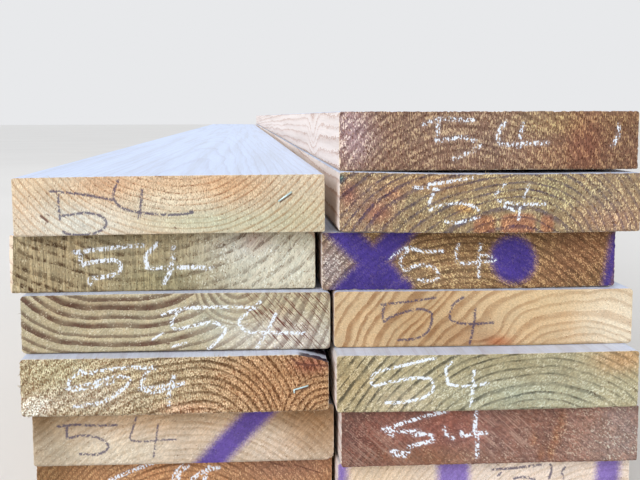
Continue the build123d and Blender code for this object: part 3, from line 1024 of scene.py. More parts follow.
# UNDERSIDE_SHADE_TINT is the painted shade at the foot of each end, where it meets the board below
PIT_SHADE, UNDERSIDE_SHADE_TINT, BROWN_BARK = (0.4, 0.25, 0.17), (0.3, 0.26, 0.24), (1.6, 0.8, 0.6)
END_RIM_WEAR_AND_HIGHLIGHT, FACE_WEAR = 1.3, 3.0  # mm that handling rubs back from an edge; on the ends this paler rim is partly a painted highlight on the arris
UNDERSIDE_SHADE_HEIGHT = (0.2, 2.4)  # mm above the underside, over which the painted shade where the end meets what lies below fades out
PAINTED_SHEEN_START, PAINTED_SHEEN_FULL = 0.45, 0.92  # how far a planed face turns away before its painted sheen, a reflection put into its colour, sets in and is full
FLAKE_SIZE, FLAKE_REACH = (3.5, 6.0, 9.0), 16.0


def new_material(name):
    """A material with an empty tree, as (material, bench, the shader, the place in millimetres)."""
    material = bpy.data.materials.new(name)
    material.use_nodes = True
    material.node_tree.nodes.clear()
    b = Bench(material.node_tree)
    shader = b.add("BsdfPrincipled")
    b.add("OutputMaterial", b.read(shader))
    place = b.vector("DIVIDE", b.read(b.add("TexCoord"), "Object"), (MM, MM, MM))
    return material, b, shader, place


def add_bump(b, shader, height, strength, distance):
    bump = b.add("Bump")
    bump.inputs["Strength"].default_value = strength
    bump.inputs["Distance"].default_value = distance * MM
    b.feed(bump.inputs["Height"], height)
    b.feed(shader.inputs["Normal"], b.read(bump))


def ring_pattern(b, groups, look, place, seed):
    values = {key: getattr(look, key) for key in RING_INPUTS}
    return b.group(groups["rings"], place=place, seed=seed, **values)


def rubbed_and_lit_edge(b, groups, place, width, seed):
    return b.group(groups["wear"], place=place, distance=b.carried(EDGE), width=width, seed=seed).wear


def wood_colour(b, look, rings, saw, local):
    """Bands, flecks, pits and scratches of one sawn end, as (colour, how far bands show)."""
    tint = b.carried(TINT, "Color")
    rough = b.math("MINIMUM", local[FLECKS] * look.torn, 1.2)
    band = rings.band * b.blend(0.7 * look.torn, 1.0, 0.45 + saw.fibres * 0.9)
    band = band * b.blend(look.patchy, 1.0, saw.blocks)
    band = band * local[BANDS] * look.band_strength
    colour = b.times(b.mix(band, look.wood, look.band), 0.94 + rings.tone * 0.12)
    drift = b.times(b.vector("SUBTRACT", saw.mottle, (0.5, 0.5, 0.5)), 0.75 * look.mottled)
    colour = b.tinted(b.tinted(colour, b.vector("ADD", drift, (1, 1, 1))), tint)
    grain = b.blend(saw.fibres, 0.9 - rough * 0.34, 1.08 + rough * 0.26)
    lines = b.blend(local[SAW_LINES] * look.saw_strength, 1.0, 0.64 + saw.lines * 0.6)
    colour = b.times(colour, grain * lines)
    colour = b.mix(saw.flecks * (0.85 - band * 0.3), colour, b.tinted(look.fleck, tint))
    colour = b.stained(saw.pits * 0.8, colour, PIT_SHADE)
    scratched = saw.scratches * b.math("MINIMUM", local[SCRATCHES], 0.95)
    return b.mix(scratched, colour, look.scratch), band


def mark_end(b, look, shared, groups, place, saw, band, colour):
    """Draws the cracks, paint, chalk and pencil over an end, as (colour, how far paint covers)."""

    def drawn(distance, **values):
        return b.group(groups["line"], place=place, height=saw.tooth, distance=distance, **values).mask

    # Nicks and cracks, and the painted shadows under the staples and below the bark
    cut = drawn(b.carried(CUT_AND_SHADOW), softness=0.4, gaps=0.1, fray=0.9)
    colour = b.mix(cut * 0.85, colour, shared.cut)

    paint = drawn(b.carried(PAINT), softness=4.6, gaps=-0.2, fray=8.0)
    thin = b.blend(saw.fibres, 0.84, 1.14) * b.blend(saw.pits, 1.0, 0.45)
    thin = thin * b.blend(b.split(saw.mottle)[0], 0.55, 1.5)
    sprayed = b.times(look.paint, thin * b.blend(band, 1.0, 0.88))
    cover = look.paint_cover * b.blend(saw.flecks, 1.0, 0.93)
    colour = b.mix(paint * cover, colour, sprayed)

    to_chalk = b.carried(CHALK) - look.chalk_spread
    dust = drawn(to_chalk, softness=2.4, gaps=0.2, fray=2.0)
    colour = b.mix(dust * 0.1, colour, shared.chalk)
    chalked = drawn(to_chalk, softness=0.4, gaps=look.chalk_break, fray=2.6)
    colour = b.mix(chalked * 0.95, colour, shared.chalk)
    pencilled = drawn(b.carried(PENCIL), softness=0.6, gaps=0.24, fray=2.8)
    return b.mix(pencilled * 0.8, colour, shared.pencil), paint


def end_material(node, look, shared, groups, seed):
    """A sawn end: rings, torn fibres, stains, and the yard's marks on top."""
    material, b, shader, place = new_material(node + "_end")
    rings = ring_pattern(b, groups, look, place, seed)
    local = {kind: b.carried(kind) for kind in USUAL}
    flecked = local[FLECKS] * look.flecked * (1.0 - rings.band * 0.7)
    pitted = local[PITS] * (rings.line * 1.7) + look.pitted + rings.band * 0.2
    saw = b.group(groups["saw"], place=place, angle=look.saw_angle, pitch=look.saw_pitch,
                  scratch_angle=look.scratch_angle, flecked=flecked, pitted=pitted, combed=look.combed,
                  stretch=look.stretch, seed=seed)
    colour, band = wood_colour(b, look, rings, saw, local)
    # Paler rim along the end's edges: rubbed fibres, and partly a painted highlight where the arris catches
    # the light
    colour = b.mix(rubbed_and_lit_edge(b, groups, place, END_RIM_WEAR_AND_HIGHLIGHT, seed) * 0.35, colour, look.fleck)
    # Painted shade: the end darkens towards its underside, where it meets what lies below
    colour = b.stained(b.ease(b.split(place)[2], *UNDERSIDE_SHADE_HEIGHT, 0.55, 0.0), colour, UNDERSIDE_SHADE_TINT)
    colour, paint = mark_end(b, look, shared, groups, place, saw, band, colour)
    b.feed(shader.inputs["Base Color"], colour)
    b.feed(shader.inputs["Roughness"], b.blend(paint, 0.86, 0.7))
    shader.inputs["Specular IOR Level"].default_value = 0.25
    height = saw.fibres * (0.3 + 0.6 * look.torn) + saw.lines * look.saw_strength + rings.band * 0.3
    add_bump(b, shader, height, 0.6, 0.5)
    return material


def bark_colour(b, shared, grain, place):
    """Dark, crusty bark, with a pale bluish painted highlight in a strip behind the end."""
    brown = b.tinted(b.times(shared.bark, 5.0), BROWN_BARK)
    crust = b.mix(b.ease(grain.fibres, 0.35, 0.65), shared.bark, brown)
    flaky = b.noise(b.scaled(place, FLAKE_SIZE), 2.0, 0.6)
    along = b.split(place)[1] + (flaky - 0.5) * FLAKE_REACH
    # Painted highlight in a ragged strip on the bark
    painted_bark_highlight = b.ease(along, *PAINTED_BARK_HIGHLIGHT_START) * b.ease(along, *PAINTED_BARK_HIGHLIGHT_STOP, 1.0, 0.0)
    return b.mix(painted_bark_highlight * 0.9, crust, shared.painted_bark_highlight)


def face_material(node, look, shared, groups, seed):
    """A planed face: the same rings cut along the board, with a painted sheen in its colour when seen along
    its length, bluish on upper faces as a painted sky reflection.
    """
    material, b, shader, place = new_material(node + "_faces")
    rings = ring_pattern(b, groups, look, place, seed)
    grain = b.group(groups["grain"], place=place, seed=seed)
    # Upper faces take the bluish painted sky reflection, the other faces a paler painted sheen
    above = b.ease(b.split(b.read(b.add("TexCoord"), "Normal"))[2], 0.3, 0.8)
    # Painted sheen: the base colour turns to the sheen colours as a face is seen more nearly along its length
    sheen = b.ease(b.read(b.add("LayerWeight"), "Facing"), PAINTED_SHEEN_START, PAINTED_SHEEN_FULL)
    top = b.mix(sheen, shared.planed_top, shared.painted_top_sheen)
    base = b.mix(above, b.mix(sheen, shared.planed_side, shared.painted_side_sheen), top)
    line = b.mix(above * sheen, shared.growth_line, shared.painted_sheen_line)
    drawn = (rings.line * 0.6 + rings.band * 0.25) * b.blend(above, 1.0, 0.5)
    colour = b.times(b.mix(drawn, base, line), b.ease(grain.fibres, 0.25, 0.75, 0.92, 1.05))
    colour = b.stained(b.ease(grain.blotches, 0.4, 0.7) * 0.22, colour, look.wood)
    colour = b.mix(rubbed_and_lit_edge(b, groups, place, FACE_WEAR, seed) * 0.3, colour, look.wood)
    bark = b.carried(BARK)
    b.feed(shader.inputs["Base Color"], b.mix(bark, colour, bark_colour(b, shared, grain, place)))
    b.feed(shader.inputs["Roughness"], b.blend(bark, b.ease(grain.fibres, 0.2, 0.8, 0.5, 0.66), 0.3))
    shader.inputs["Specular IOR Level"].default_value = 0.35
    add_bump(b, shader, grain.fibres * 0.4 + grain.ripple * 0.5 + rings.band * 0.5, 0.35, 0.25)
    return material


# Shapes

NEAR_STATIONS = (0, 0.5, 1.1, 2.0, 3.2, 5.0)  # mm from the end, with a fine outline
OUTER_STATIONS = (8, 13, 20, 30, 45, 70, 110, 170, 250, 350, 480, 640, 820, 1050, 1350, 1700, 2200)
FAR_STATIONS = (0, 2, 8, *OUTER_STATIONS[2:])  # mm from the far end
COARSE = 4  # fine outline points to one coarse one
INSET = 6.0  # mm; rays that find the outline start this far inside the board
TINY = 0.01  # mm; an end's outline is read this far inside it
END, FACES = 0, 1  # the boards' material slots
BAKE_MAP = "OFBake"  # where the boards' colours go when they are baked to an image
TABLE = 256  # squares each way before the lattice noise repeats

# Millimetres, on the near ends
RUB_LEAST, RUB_TORN = 0.12, 1.1  # eaten off an arris on a clean end, and more on a torn one
RUB_BIT, RUB_DEPTH = 1.6, 1.2  # size of a rubbed bit along the arris and along the board
RELIEF_LINE_LENGTH, RELIEF_BIT, RELIEF_SWELL = 30, (1.3, 2.8), (40, 20)
RIM_BACK = 0.1  # the rim lies this far behind the relief beside it
SHARP_CREASE = 38  # degrees

END_SKIN, SIDE_SKIN = 0.3, 0.15  # mm; a point this near an end or the right side counts as on it
BARK_TOP, BARK_FADE = 0.4, 0.6  # mm below the top: where bark starts past the arris, and how it fades in

# Splinters, in millimetres
SPLINTER_LENGTH, SPLINTER_RADIUS, SPLINTER_BEND = (1.4, 4.6), (0.14, 0.36), (-0.2, 0.5)
SPLINTER_OUTWARD, SPLINTER_INWARD = (0.3, 1.1), -0.1
SPLINTER_FORWARD, SPLINTER_LEAN = (0.1, 0.6), 0.8  # the second is a spread to either side
SPLINTER_RINGS = ((0, 1.0), (0.55, 0.8))  # shares of its length and of its radius
SPLINTER_TURNS = (0, 2.1, 4.2)


def lattice_noise(u, v, seed):
    """Smooth noise from 0 to 1 over a grid of unit squares, the same on each run."""
    table = np.random.default_rng(seed).random((TABLE, TABLE))
    left, low = np.floor(u).astype(int), np.floor(v).astype(int)
    s, t = u - left, v - low
    s, t = s * s * (3 - 2 * s), t * t * (3 - 2 * t)

    def value(i, j):
        return table[i % TABLE, j % TABLE]

    lower = value(left, low) * (1 - s) + value(left + 1, low) * s
    upper = value(left, low + 1) * (1 - s) + value(left + 1, low + 1) * s
    return lower * (1 - t) + upper * t


class Section:
    """Reads the outline of one CAD board at any place along it, in mm from its lowest corner."""

    def __init__(self, node, step):
        low, high = (Vector(corner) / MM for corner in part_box(node))
        self.low = low
        self.width, self.length, self.height = high - low
        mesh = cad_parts[node].data
        corners = [v.co / MM - low for v in mesh.vertices]
        self.tree = BVHTree.FromPolygons(corners, [tuple(p.vertices) for p in mesh.polygons])
        self.across = COARSE * round(self.width / step / COARSE)
        self.up = COARSE * round(self.height / step / COARSE)

    def sides(self, each=1):
        """How many points lie along each of the four sides, from the underside round to the left."""
        return [self.across // each, self.up // each] * 2

    def rays(self, each):
        """Starts and directions of the rays, from the lower left corner round to the right and back."""
        found = []
        for side, (span, count) in enumerate(zip((self.width, self.height) * 2, self.sides())):
            for i in range(0, count, each):
                along = span * i / count
                lean = max(INSET - along, 0) - max(along - (span - INSET), 0)
                start = min(max(along, INSET), span - INSET)
                found.append((side, start, lean / INSET))
        return found

    def outline(self, y, each=1):
        """The outline's points at a place along the board."""
        points = []
        for side, start, lean in self.rays(each):
            turn = Matrix.Rotation(side * math.pi / 2, 2)
            corner = ((0, 0), (self.width, 0), (self.width, self.height), (0, self.height))[side]
            x, z = turn @ Vector((start, INSET)) + Vector(corner)
            dx, dz = turn @ Vector((-lean, -1))
            origin = Vector((x, min(max(y, TINY), self.length - TINY), z))
            hit = self.tree.ray_cast(origin, Vector((dx, 0, dz)).normalized())[0]
            if hit is None:
                raise RuntimeError(f"no outline at {tuple(origin)}")
            points.append((hit.x, y, hit.z))
        return np.array(points)


def fill_patch(outline, across, up):
    """A grid of points inside an outline, which bends with all four sides."""
    ring = np.vstack([outline, outline[:1]])
    bottom = ring[: across + 1]
    right = ring[across: across + up + 1]
    top = ring[across + up: 2 * across + up + 1][::-1]
    left = ring[2 * across + up:][::-1]
    u = np.linspace(0, 1, across + 1)[:, None, None]
    v = np.linspace(0, 1, up + 1)[None, :, None]
    edges = (1 - v) * bottom[:, None] + v * top[:, None] + (1 - u) * left[None] + u * right[None]
    corners = ((1 - u) * (1 - v) * bottom[0] + u * (1 - v) * bottom[-1]
               + (1 - u) * v * top[0] + u * v * top[-1])
    return edges - corners


class Sheet:
    """Where each part of a board lies on its bake image: a full-width row for the near end, half a
    row for the far end, then two rows for each long face, one for each half of its length."""

    MARGIN = 0.004
    NEAR_HIGH, FAR_HIGH = 0.2, 0.1
    SPLINTERS_LEFT, SPLINTERS_WIDE = 0.51, 0.48  # beside the far end
    SPLINTER_COLUMNS, SPLINTER_ROWS, SPLINTER_FILL = 20, 4, 0.8

    def __init__(self, section):
        self.section = section
        spans = [section.width, section.height] * 2
        free = 1 - self.NEAR_HIGH - self.FAR_HIGH - (2 * len(spans) + 3) * self.MARGIN
        scale = free / (2 * sum(spans))
        low = self.NEAR_HIGH + self.FAR_HIGH + 3 * self.MARGIN
        self.rows = {}
        for half in (0, 1):
            for side, span in enumerate(spans):
                self.rows[half, side] = (low, span * scale)
                low += span * scale + self.MARGIN

    def on_face(self, y, half, side, share):
        """A place on a long face, by its share of the way across that face."""
        low, high = self.rows[half, side]
        along = 2 * y / self.section.length - half
        return (self.MARGIN + along * (1 - 2 * self.MARGIN), low + share * high)

    def on_end(self, x, z, far):
        wide, high = (0.5, self.FAR_HIGH) if far else (1 - 2 * self.MARGIN, self.NEAR_HIGH)
        low = self.NEAR_HIGH + 2 * self.MARGIN if far else self.MARGIN
        return (self.MARGIN + wide * x / self.section.width, low + high * z / self.section.height)

    def on_splinter(self, index, turn, share):
        """A place on a splinter, by its share of the way round and along."""
        column, row = index % self.SPLINTER_COLUMNS, index // self.SPLINTER_COLUMNS
        wide, high = self.SPLINTERS_WIDE / self.SPLINTER_COLUMNS, self.FAR_HIGH / self.SPLINTER_ROWS
        left = self.SPLINTERS_LEFT + column * wide
        low = self.NEAR_HIGH + 2 * self.MARGIN + row * high
        return (left + self.SPLINTER_FILL * wide * turn, low + self.SPLINTER_FILL * high * share)


class Shape:
    """Points and faces of one board's mesh as they are added. Lengths are in millimetres."""

    def __init__(self, section):
        self.sheet = Sheet(section)
        self.points, self.faces, self.slots, self.places, self.count = [], [], [], [], 0

    def add_points(self, points):
        first = self.count
        self.points.append(points)
        self.count += len(points)
        return np.arange(first, self.count)

    def add_faces(self, faces, slot, places):
        """Faces, with each corner's place on the bake image."""
        self.faces += faces
        self.slots += [slot] * len(faces)
        self.places += places

    def join_rings(self, near, far, near_y, far_y, half, sides):
        """Faces between two rings with as many points, or with COARSE times as many in the near one."""
        ratio = len(near) // len(far)
        faces, places = [], []
        k = 0
        for side, count in enumerate(sides):
            for step in range(count):
                fine = [int(near[(k * ratio + i) % len(near)]) for i in range(ratio + 1)]
                faces.append([*fine, int(far[(k + 1) % len(far)]), int(far[k])])
                places += [self.sheet.on_face(near_y, half, side, (step + i / ratio) / count)
                           for i in range(ratio + 1)]
                places += [self.sheet.on_face(far_y, half, side, (step + i) / count) for i in (1, 0)]
                k += 1
        self.add_faces(faces, FACES, places)

    def fill_end(self, ring, patch, far):
        """Faces over an end, whose rim is a ring that is already there."""
        across, up = patch.shape[0] - 1, patch.shape[1] - 1
        grid = np.empty((across + 1, up + 1), dtype=int)
        grid[:, 0] = ring[: across + 1]
        grid[-1, :] = ring[across: across + up + 1]
        grid[:, -1] = ring[across + up: 2 * across + up + 1][::-1]
        grid[0, :] = np.append(ring[2 * across + up:], ring[0])[::-1]
        inside = patch[1:-1, 1:-1].reshape(-1, 3)
        grid[1:-1, 1:-1] = self.add_points(inside).reshape(across - 1, up - 1)
        i, j = np.meshgrid(np.arange(across), np.arange(up), indexing="ij")
        order = ((0, 0), (0, 1), (1, 1), (1, 0)) if far else ((0, 0), (1, 0), (1, 1), (0, 1))
        faces = np.stack([grid[i + di, j + dj] for di, dj in order], axis=-1).reshape(-1, 4)
        corners = np.stack([patch[i + di, j + dj] for di, dj in order], axis=-2).reshape(-1, 3)
        places = np.stack(self.sheet.on_end(corners[:, 0], corners[:, 2], far), axis=-1)
        self.add_faces(faces.tolist(), END, places.tolist())


def roughen(section, look, outline, y, seed):
    """Eats into the arrises near the end, most where the saw tore them."""
    middle = np.array([section.width / 2, 0, section.height / 2])
    run = np.arange(len(outline)) * section.width / section.across
    ragged = lattice_noise(run / RUB_BIT, np.full(len(run), 7.5), seed) ** 2
    depth = (RUB_LEAST + RUB_TORN * look.torn) * ragged * math.exp(-y / RUB_DEPTH)
    reach = np.abs(outline - middle) / np.array([section.width / 2, 1, section.height / 2])
    inward = np.sign(middle - outline) * (1, 0, 1) * (reach > 0.9)
    return outline + inward * depth[:, None]


def end_relief(look, points, depth, seed):
    """How far each point of a sawn end lies behind its plane."""
    x, z = points[..., 0], points[..., 2]
    angle = math.radians(look.saw_angle)
    across = x * math.cos(angle) - z * math.sin(angle)
    along = x * math.sin(angle) + z * math.cos(angle)

    def hollows(u, v, size, corner, layer):
        return lattice_noise(u / size[0] + corner, v / size[1] + corner, seed + layer)

    lines = hollows(across, along, (1.3 * look.saw_pitch, RELIEF_LINE_LENGTH), 60, 0)
    torn = hollows(across, along, RELIEF_BIT, 60, 1)
    swell = hollows(x, z, RELIEF_SWELL, 5, 2)
    share = 0.35 * lines * (0.3 + look.saw_strength) + torn * (0.12 + 0.5 * look.torn) + 0.25 * swell
    return depth * share


def near_end(section, look, depth, seed):
    """The near end's outline and the grid of points inside it."""
    outline = roughen(section, look, section.outline(0), 0, seed)
    patch = fill_patch(outline, section.across, section.up)
    patch[..., 1] = end_relief(look, patch, depth, seed)
    outline[:, 1] = end_relief(look, outline, depth, seed) + RIM_BACK
    return outline, patch


def free_sides(node):
    """Which sides of a board stand clear at its near end, as directions across and up."""
    low, high = (Vector(corner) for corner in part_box(node))
    free = {(-1, 0), (1, 0), (0, -1), (0, 1)}
    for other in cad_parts:
        other_low, other_high = (Vector(corner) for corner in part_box(other))
        if other == node or other_low.y > low.y:
            continue
        beside_x = other_low.x < high.x and low.x < other_high.x
        beside_z = other_low.z < high.z - MM and low.z + MM < other_high.z
        if beside_x:
            free.discard((0, 1) if other_low.z > low.z else (0, -1))
        if beside_z:
            free.discard((1, 0) if other_low.x > low.x else (-1, 0))
    return free


def splinter_points(root, away, is_free, rng):
    """Seven points of a sliver: two triangles and a tip. It starts inside the wood, near a root."""
    sideways = np.array([-away[2], 0, away[0]])
    length, radius = rng.uniform(*SPLINTER_LENGTH), rng.uniform(*SPLINTER_RADIUS)
    outward = rng.uniform(*SPLINTER_OUTWARD) if is_free else SPLINTER_INWARD
    heading = away * outward + sideways * rng.normal(0, SPLINTER_LEAN)
    heading = heading - np.array([0, rng.uniform(*SPLINTER_FORWARD), 0])
    heading /= np.linalg.norm(heading)
    bend = np.array([0, -1, 0]) * rng.uniform(*SPLINTER_BEND)
    side = np.cross(heading, [0, 1, 0])
    side /= np.linalg.norm(side)
    over = np.cross(side, heading)
    start = root - heading * 0.6 - away * 0.2
    points = []
    for share, width in SPLINTER_RINGS:
        centre = start + heading * length * share + bend * length * share**2
        for turn in SPLINTER_TURNS:
            points.append(centre + radius * width * (side * math.cos(turn) + over * math.sin(turn)))
    points.append(start + heading * length + bend * length)
    return np.array(points)


def splinter_faces(a):
    """A sliver's faces, and their corners' places on it by share of the way round and along."""
    faces, places = [[a[2], a[1], a[0]]], [(0.6, 0.1), (0.3, 0.1), (0.45, 0.0)]
    for i in range(3):
        after, start, stop = (i + 1) % 3, i / 3, (i + 1) / 3
        faces += [[a[i], a[after], a[3 + after], a[3 + i]], [a[3 + i], a[3 + after], a[6]]]
        places += [(start, 0.1), (stop, 0.1), (stop, 0.6), (start, 0.6)]
        places += [(start, 0.6), (stop, 0.6), ((start + stop) / 2, 1.0)]
    return faces, places


def add_splinters(shape, node, section, look, ring, rng):
    """Slivers that the saw left hanging at the near edges, inside the whole stack's box."""
    points = np.vstack(shape.points)
    middle = np.array([section.width / 2, 0, section.height / 2])
    span = np.array([section.width, 1, section.height])
    free = free_sides(node)
    least, most = (np.array(Vector(corner) / MM - section.low) for corner in CAD_BOX)
    for index in range(look.splinters):
        root = points[ring[rng.integers(len(ring))]]
        away = (root - middle) / span * (1, 0, 1)
        away = np.where(np.abs(away) == np.abs(away).max(), np.sign(away), 0)
        sliver = splinter_points(root, away, (int(away[0]), int(away[2])) in free, rng)
        if (sliver < least).any() or (sliver > most).any():
            continue
        faces, places = splinter_faces([int(i) for i in shape.add_points(sliver)])
        shape.add_faces(faces, END, [shape.sheet.on_splinter(index, *place) for place in places])


def hand_curve(points, pieces=6):
    """A smooth curve through a stroke's points: a Catmull-Rom spline, in pieces from point to point."""
    points = [np.array(p, dtype=float) for p in points]
    ends = [2 * points[0] - points[1], *points, 2 * points[-1] - points[-2]]
    curve = []
    for before, start, stop, after in zip(ends, ends[1:], ends[2:], ends[3:]):
        for i in range(pieces):
            t = i / pieces
            curve.append(0.5 * (2 * start + (stop - before) * t
                                + (2 * before - 5 * start + 4 * stop - after) * t**2
                                + (3 * start - before - 3 * stop + after) * t**3))
    return curve + [points[-1]]


def distance_to_line(places, line):
    """How far each place on the end lies outside a stroke; inside it the distance is below zero."""
    curve = hand_curve(line.points)
    best = np.full(len(places), np.inf)
    for start, stop in zip(curve[:-1], curve[1:]):
        run = stop - start
        share = np.clip((places - start) @ run / max(run @ run, 1e-9), 0, 1)
        best = np.minimum(best, np.linalg.norm(places - start - share[:, None] * run, axis=1))
    return best - line.width / 2


def carry(mesh, name, values):
    """Stores a number, or a colour, for each point of a mesh."""
    kind, field = ("FLOAT_COLOR", "color") if values.ndim == 2 else ("FLOAT", "value")
    mesh.attributes.new(name, kind, "POINT").data.foreach_set(field, values.astype(np.float32).ravel())


def soft_share(places, patch):
    """How much of a soft patch each place gets, from 1 in its middle to 0 well outside it."""
    off = np.abs((places - (patch.across, patch.up)) / (patch.wide, patch.high))
    off = (off ** (2 if patch.crisp < 2 else 4)).sum(axis=1)
    return np.exp(-(off**patch.crisp))


def carry_marks(mesh, node, look, points):
    """Stores the yard's marks, the stains and the saw's local work for the materials."""
    at_end = points[:, 1] < NEAR_STATIONS[-1]
    places = points[at_end][:, [0, 2]]
    for tool in (CHALK, PENCIL, PAINT, CUT_AND_SHADOW):
        values = np.full(len(points), FAR)
        for line in YARD_MARKS[node]:
            if line.tool == tool:
                values[at_end] = np.minimum(values[at_end], distance_to_line(places, line))
        carry(mesh, tool, values)
    tint = np.ones((len(points), 4))
    for spot in SPOTS[node]:
        share = (spot.strength * soft_share(places, spot))[:, None]
        change = np.array(spot.colour) / np.array(look.wood)
        tint[at_end, :3] *= 1 - share + share * change
    carry(mesh, TINT, tint)
    for kind, usual in USUAL.items():
        values = np.full(len(points), usual)
        for patch in PATCHES.get(node, []):
            if patch.kind == kind:
                values[at_end] += patch.change * soft_share(places, patch)
        carry(mesh, kind, np.clip(values, 0, 3))


def carry_edges(mesh, node, points, section):
    """Stores how near an edge each point lies, and where the bark's surface is."""
    x, y, z = points.T
    edge = np.minimum(np.minimum(x, section.width - x), np.minimum(z, section.height - z))
    at_side = np.maximum(np.minimum(x, section.width - x), np.minimum(z, section.height - z))
    ends = np.isclose(y, np.clip(y, END_SKIN, section.length - END_SKIN))
    carry(mesh, EDGE, np.clip(np.where(ends, at_side, edge), 0, FAR))
    bark = np.zeros(len(points))
    if node == BARK_NODE:
        missing = section.height - z
        arris = np.where(x > section.width - BARK_ARRIS, BARK_ARRIS, BARK_TOP)
        side = section.width - x
        inside = (side < BARK_WIDTH) & (side > SIDE_SKIN) & (missing < BARK_DEPTH)
        bark = inside * (y < BARK_LENGTH) * np.clip((missing - arris) / BARK_FADE, 0, 1)
    carry(mesh, BARK, bark)


def board_shape(section, node, look, depth, seed):
    """The points and faces of a board: its near end, its long faces, its far end and its splinters."""
    shape = Shape(section)
    outline, near_patch = near_end(section, look, depth, seed)
    rings = [(0, shape.add_points(outline))]
    for y in NEAR_STATIONS[1:]:
        rings.append((y, shape.add_points(roughen(section, look, section.outline(y), y, seed))))
    middle = section.length / 2
    for y in (*OUTER_STATIONS, middle, *(section.length - y for y in reversed(FAR_STATIONS))):
        rings.append((y, shape.add_points(section.outline(y, COARSE))))
    near_ring, far_ring = rings[0][1], rings[-1][1]
    for (near_y, near), (far_y, far) in zip(rings, rings[1:]):
        sides = section.sides(1 if len(far) == len(near_ring) else COARSE)
        shape.join_rings(near, far, near_y, far_y, int(near_y >= middle), sides)
    shape.fill_end(near_ring, near_patch, far=False)
    far_outline = section.outline(section.length, COARSE)
    far_patch = fill_patch(far_outline, section.across // COARSE, section.up // COARSE)
    shape.fill_end(far_ring, far_patch, far=True)
    add_splinters(shape, node, section, look, near_ring, np.random.default_rng(seed))
    return shape


def board_mesh(node, look, settings, seed):
    """One board as a mesh, in metres from its lowest corner."""
    section = Section(node, settings.mesh_step / MM)
    shape = board_shape(section, node, look, settings.relief / MM, seed)
    points = np.vstack(shape.points)
    mesh = bpy.data.meshes.new(node + "_wood")
    mesh.from_pydata((points * MM).tolist(), [], shape.faces)
    mesh.polygons.foreach_set("material_index", shape.slots)
    mesh.polygons.foreach_set("use_smooth", [True] * len(mesh.polygons))
    mesh.uv_layers.new(name=BAKE_MAP, do_init=False).uv.foreach_set(
        "vector", np.array(shape.places, dtype=np.float32).ravel())
    mesh.set_sharp_from_angle(angle=math.radians(SHARP_CREASE))
    carry_marks(mesh, node, look, points)
    carry_edges(mesh, node, points, section)
    return mesh, section


class LUMBER_OT_boards(bpy.types.Operator):
    """Build every board in place of its CAD node, with its own rings, saw marks and yard marks"""

    bl_idname = "lumber.boards"
    bl_label = "Build Boards"

    def execute(self, context):
        shared = context.scene.lumber
        groups = {"rings": growth_rings(), "saw": sawn_end(), "line": drawn_line(),
                  "wear": edge_wear(), "grain": planed_grain()}
        for seed, node in enumerate(sorted(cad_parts), start=1):
            look = context.scene.lumber_looks[node]
            mesh, section = board_mesh(node, look, shared, seed)
            mesh.materials.append(end_material(node, look, shared, groups, seed))
            mesh.materials.append(face_material(node, look, shared, groups, seed))
            board = bpy.data.objects.new(node + "_timber", mesh)
            board.location = section.low * MM
            context.collection.objects.link(board)
            context.view_layer.update()
            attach(board, BODY)
            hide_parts(node)
        return {"FINISHED"}


@dataclass
class Staple:
    """A wire staple in a near end: its crown's two bends, in mm from the board's corner."""

    name: str
    node: str
    crown: tuple
    loose: float = 0.0  # how far its lower leg has sprung out of the wood


STAPLES = [
    Staple("tag_staple_top", "left_board_6", ((204, 26), (214, 33))),
    Staple("tag_staple_notch", "left_board_3", ((211, 18), (222, 21)), loose=2.5),
]


LEG, SHOULDER = 4 * MM, 0.8 * MM  # how deep a leg goes in, and how far behind the crown it bends


def wire_path(staple, wire, corner):
    """Where a staple's crown starts, and the points of its wire from leg to leg, from there."""
    (x0, z0), (x1, z1) = staple.crown
    run = Vector((x1 - x0, 0, z1 - z0)).normalized() * MM
    across = Vector((run.z, 0, -run.x))
    start = corner + Vector((x0, 0, z0)) * MM
    stop = corner + Vector((x1, 0, z1)) * MM
    proud = Vector((0, -0.45 * wire, 0))
    leg, shoulder = Vector((0, LEG, 0)), Vector((0, SHOULDER, 0))
    if staple.loose:
        path = [start + across * staple.loose - run * 0.5 + proud, start + proud * 1.5, start + run + proud]
    else:
        path = [start + leg, start + proud + shoulder, start + run * 0.8 + proud]
    path += [(start + stop) / 2 + proud * 1.2, stop - run * 0.8 + proud, stop + proud + shoulder, stop + leg]
    return start, [place - start for place in path]


def wire_curve(name, path, wire, material):
    """A round wire along a path, with closed ends."""
    curve = bpy.data.curves.new(name, "CURVE")
    curve.dimensions = "3D"
    curve.bevel_depth = wire / 2
    curve.bevel_resolution = 4
    curve.use_fill_caps = True
    spline = curve.splines.new("POLY")
    spline.points.add(len(path) - 1)
    for point, place in zip(spline.points, path):
        point.co = (*place, 1)
    curve.materials.append(material)
    return curve


def wire_material(bright):
    """Bright wire that has dulled in spots; its pale cyan tint is a painted reflection of the sky."""
    material, b, shader, place = new_material("staple_wire")
    shade = b.noise(b.scaled(place, (0.6, 0.6, 0.6)), 2.0)
    dull = b.tinted(bright, (0.62, 0.66, 0.7))
    b.feed(shader.inputs["Base Color"], b.mix(b.ease(shade, 0.45, 0.7), bright, dull))
    b.feed(shader.inputs["Roughness"], b.ease(shade, 0.3, 0.7, 0.24, 0.42))
    shader.inputs["Metallic"].default_value = 0.6
    return material


class LUMBER_OT_staples(bpy.types.Operator):
    """Drive the wire staples into the near ends that carried length tags"""

    bl_idname = "lumber.staples"
    bl_label = "Drive Staples"

    def execute(self, context):
        settings = context.scene.lumber_staple
        material = wire_material(settings.colour)
        for staple in STAPLES:
            start, path = wire_path(staple, settings.wire, Vector(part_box(staple.node)[0]))
            curve = wire_curve(staple.name, path, settings.wire, material)
            piece = bpy.data.objects.new(staple.name, curve)
            piece.location = start
            context.collection.objects.link(piece)
            context.view_layer.update()
            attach(piece, BODY)
        return {"FINISHED"}


# Stage

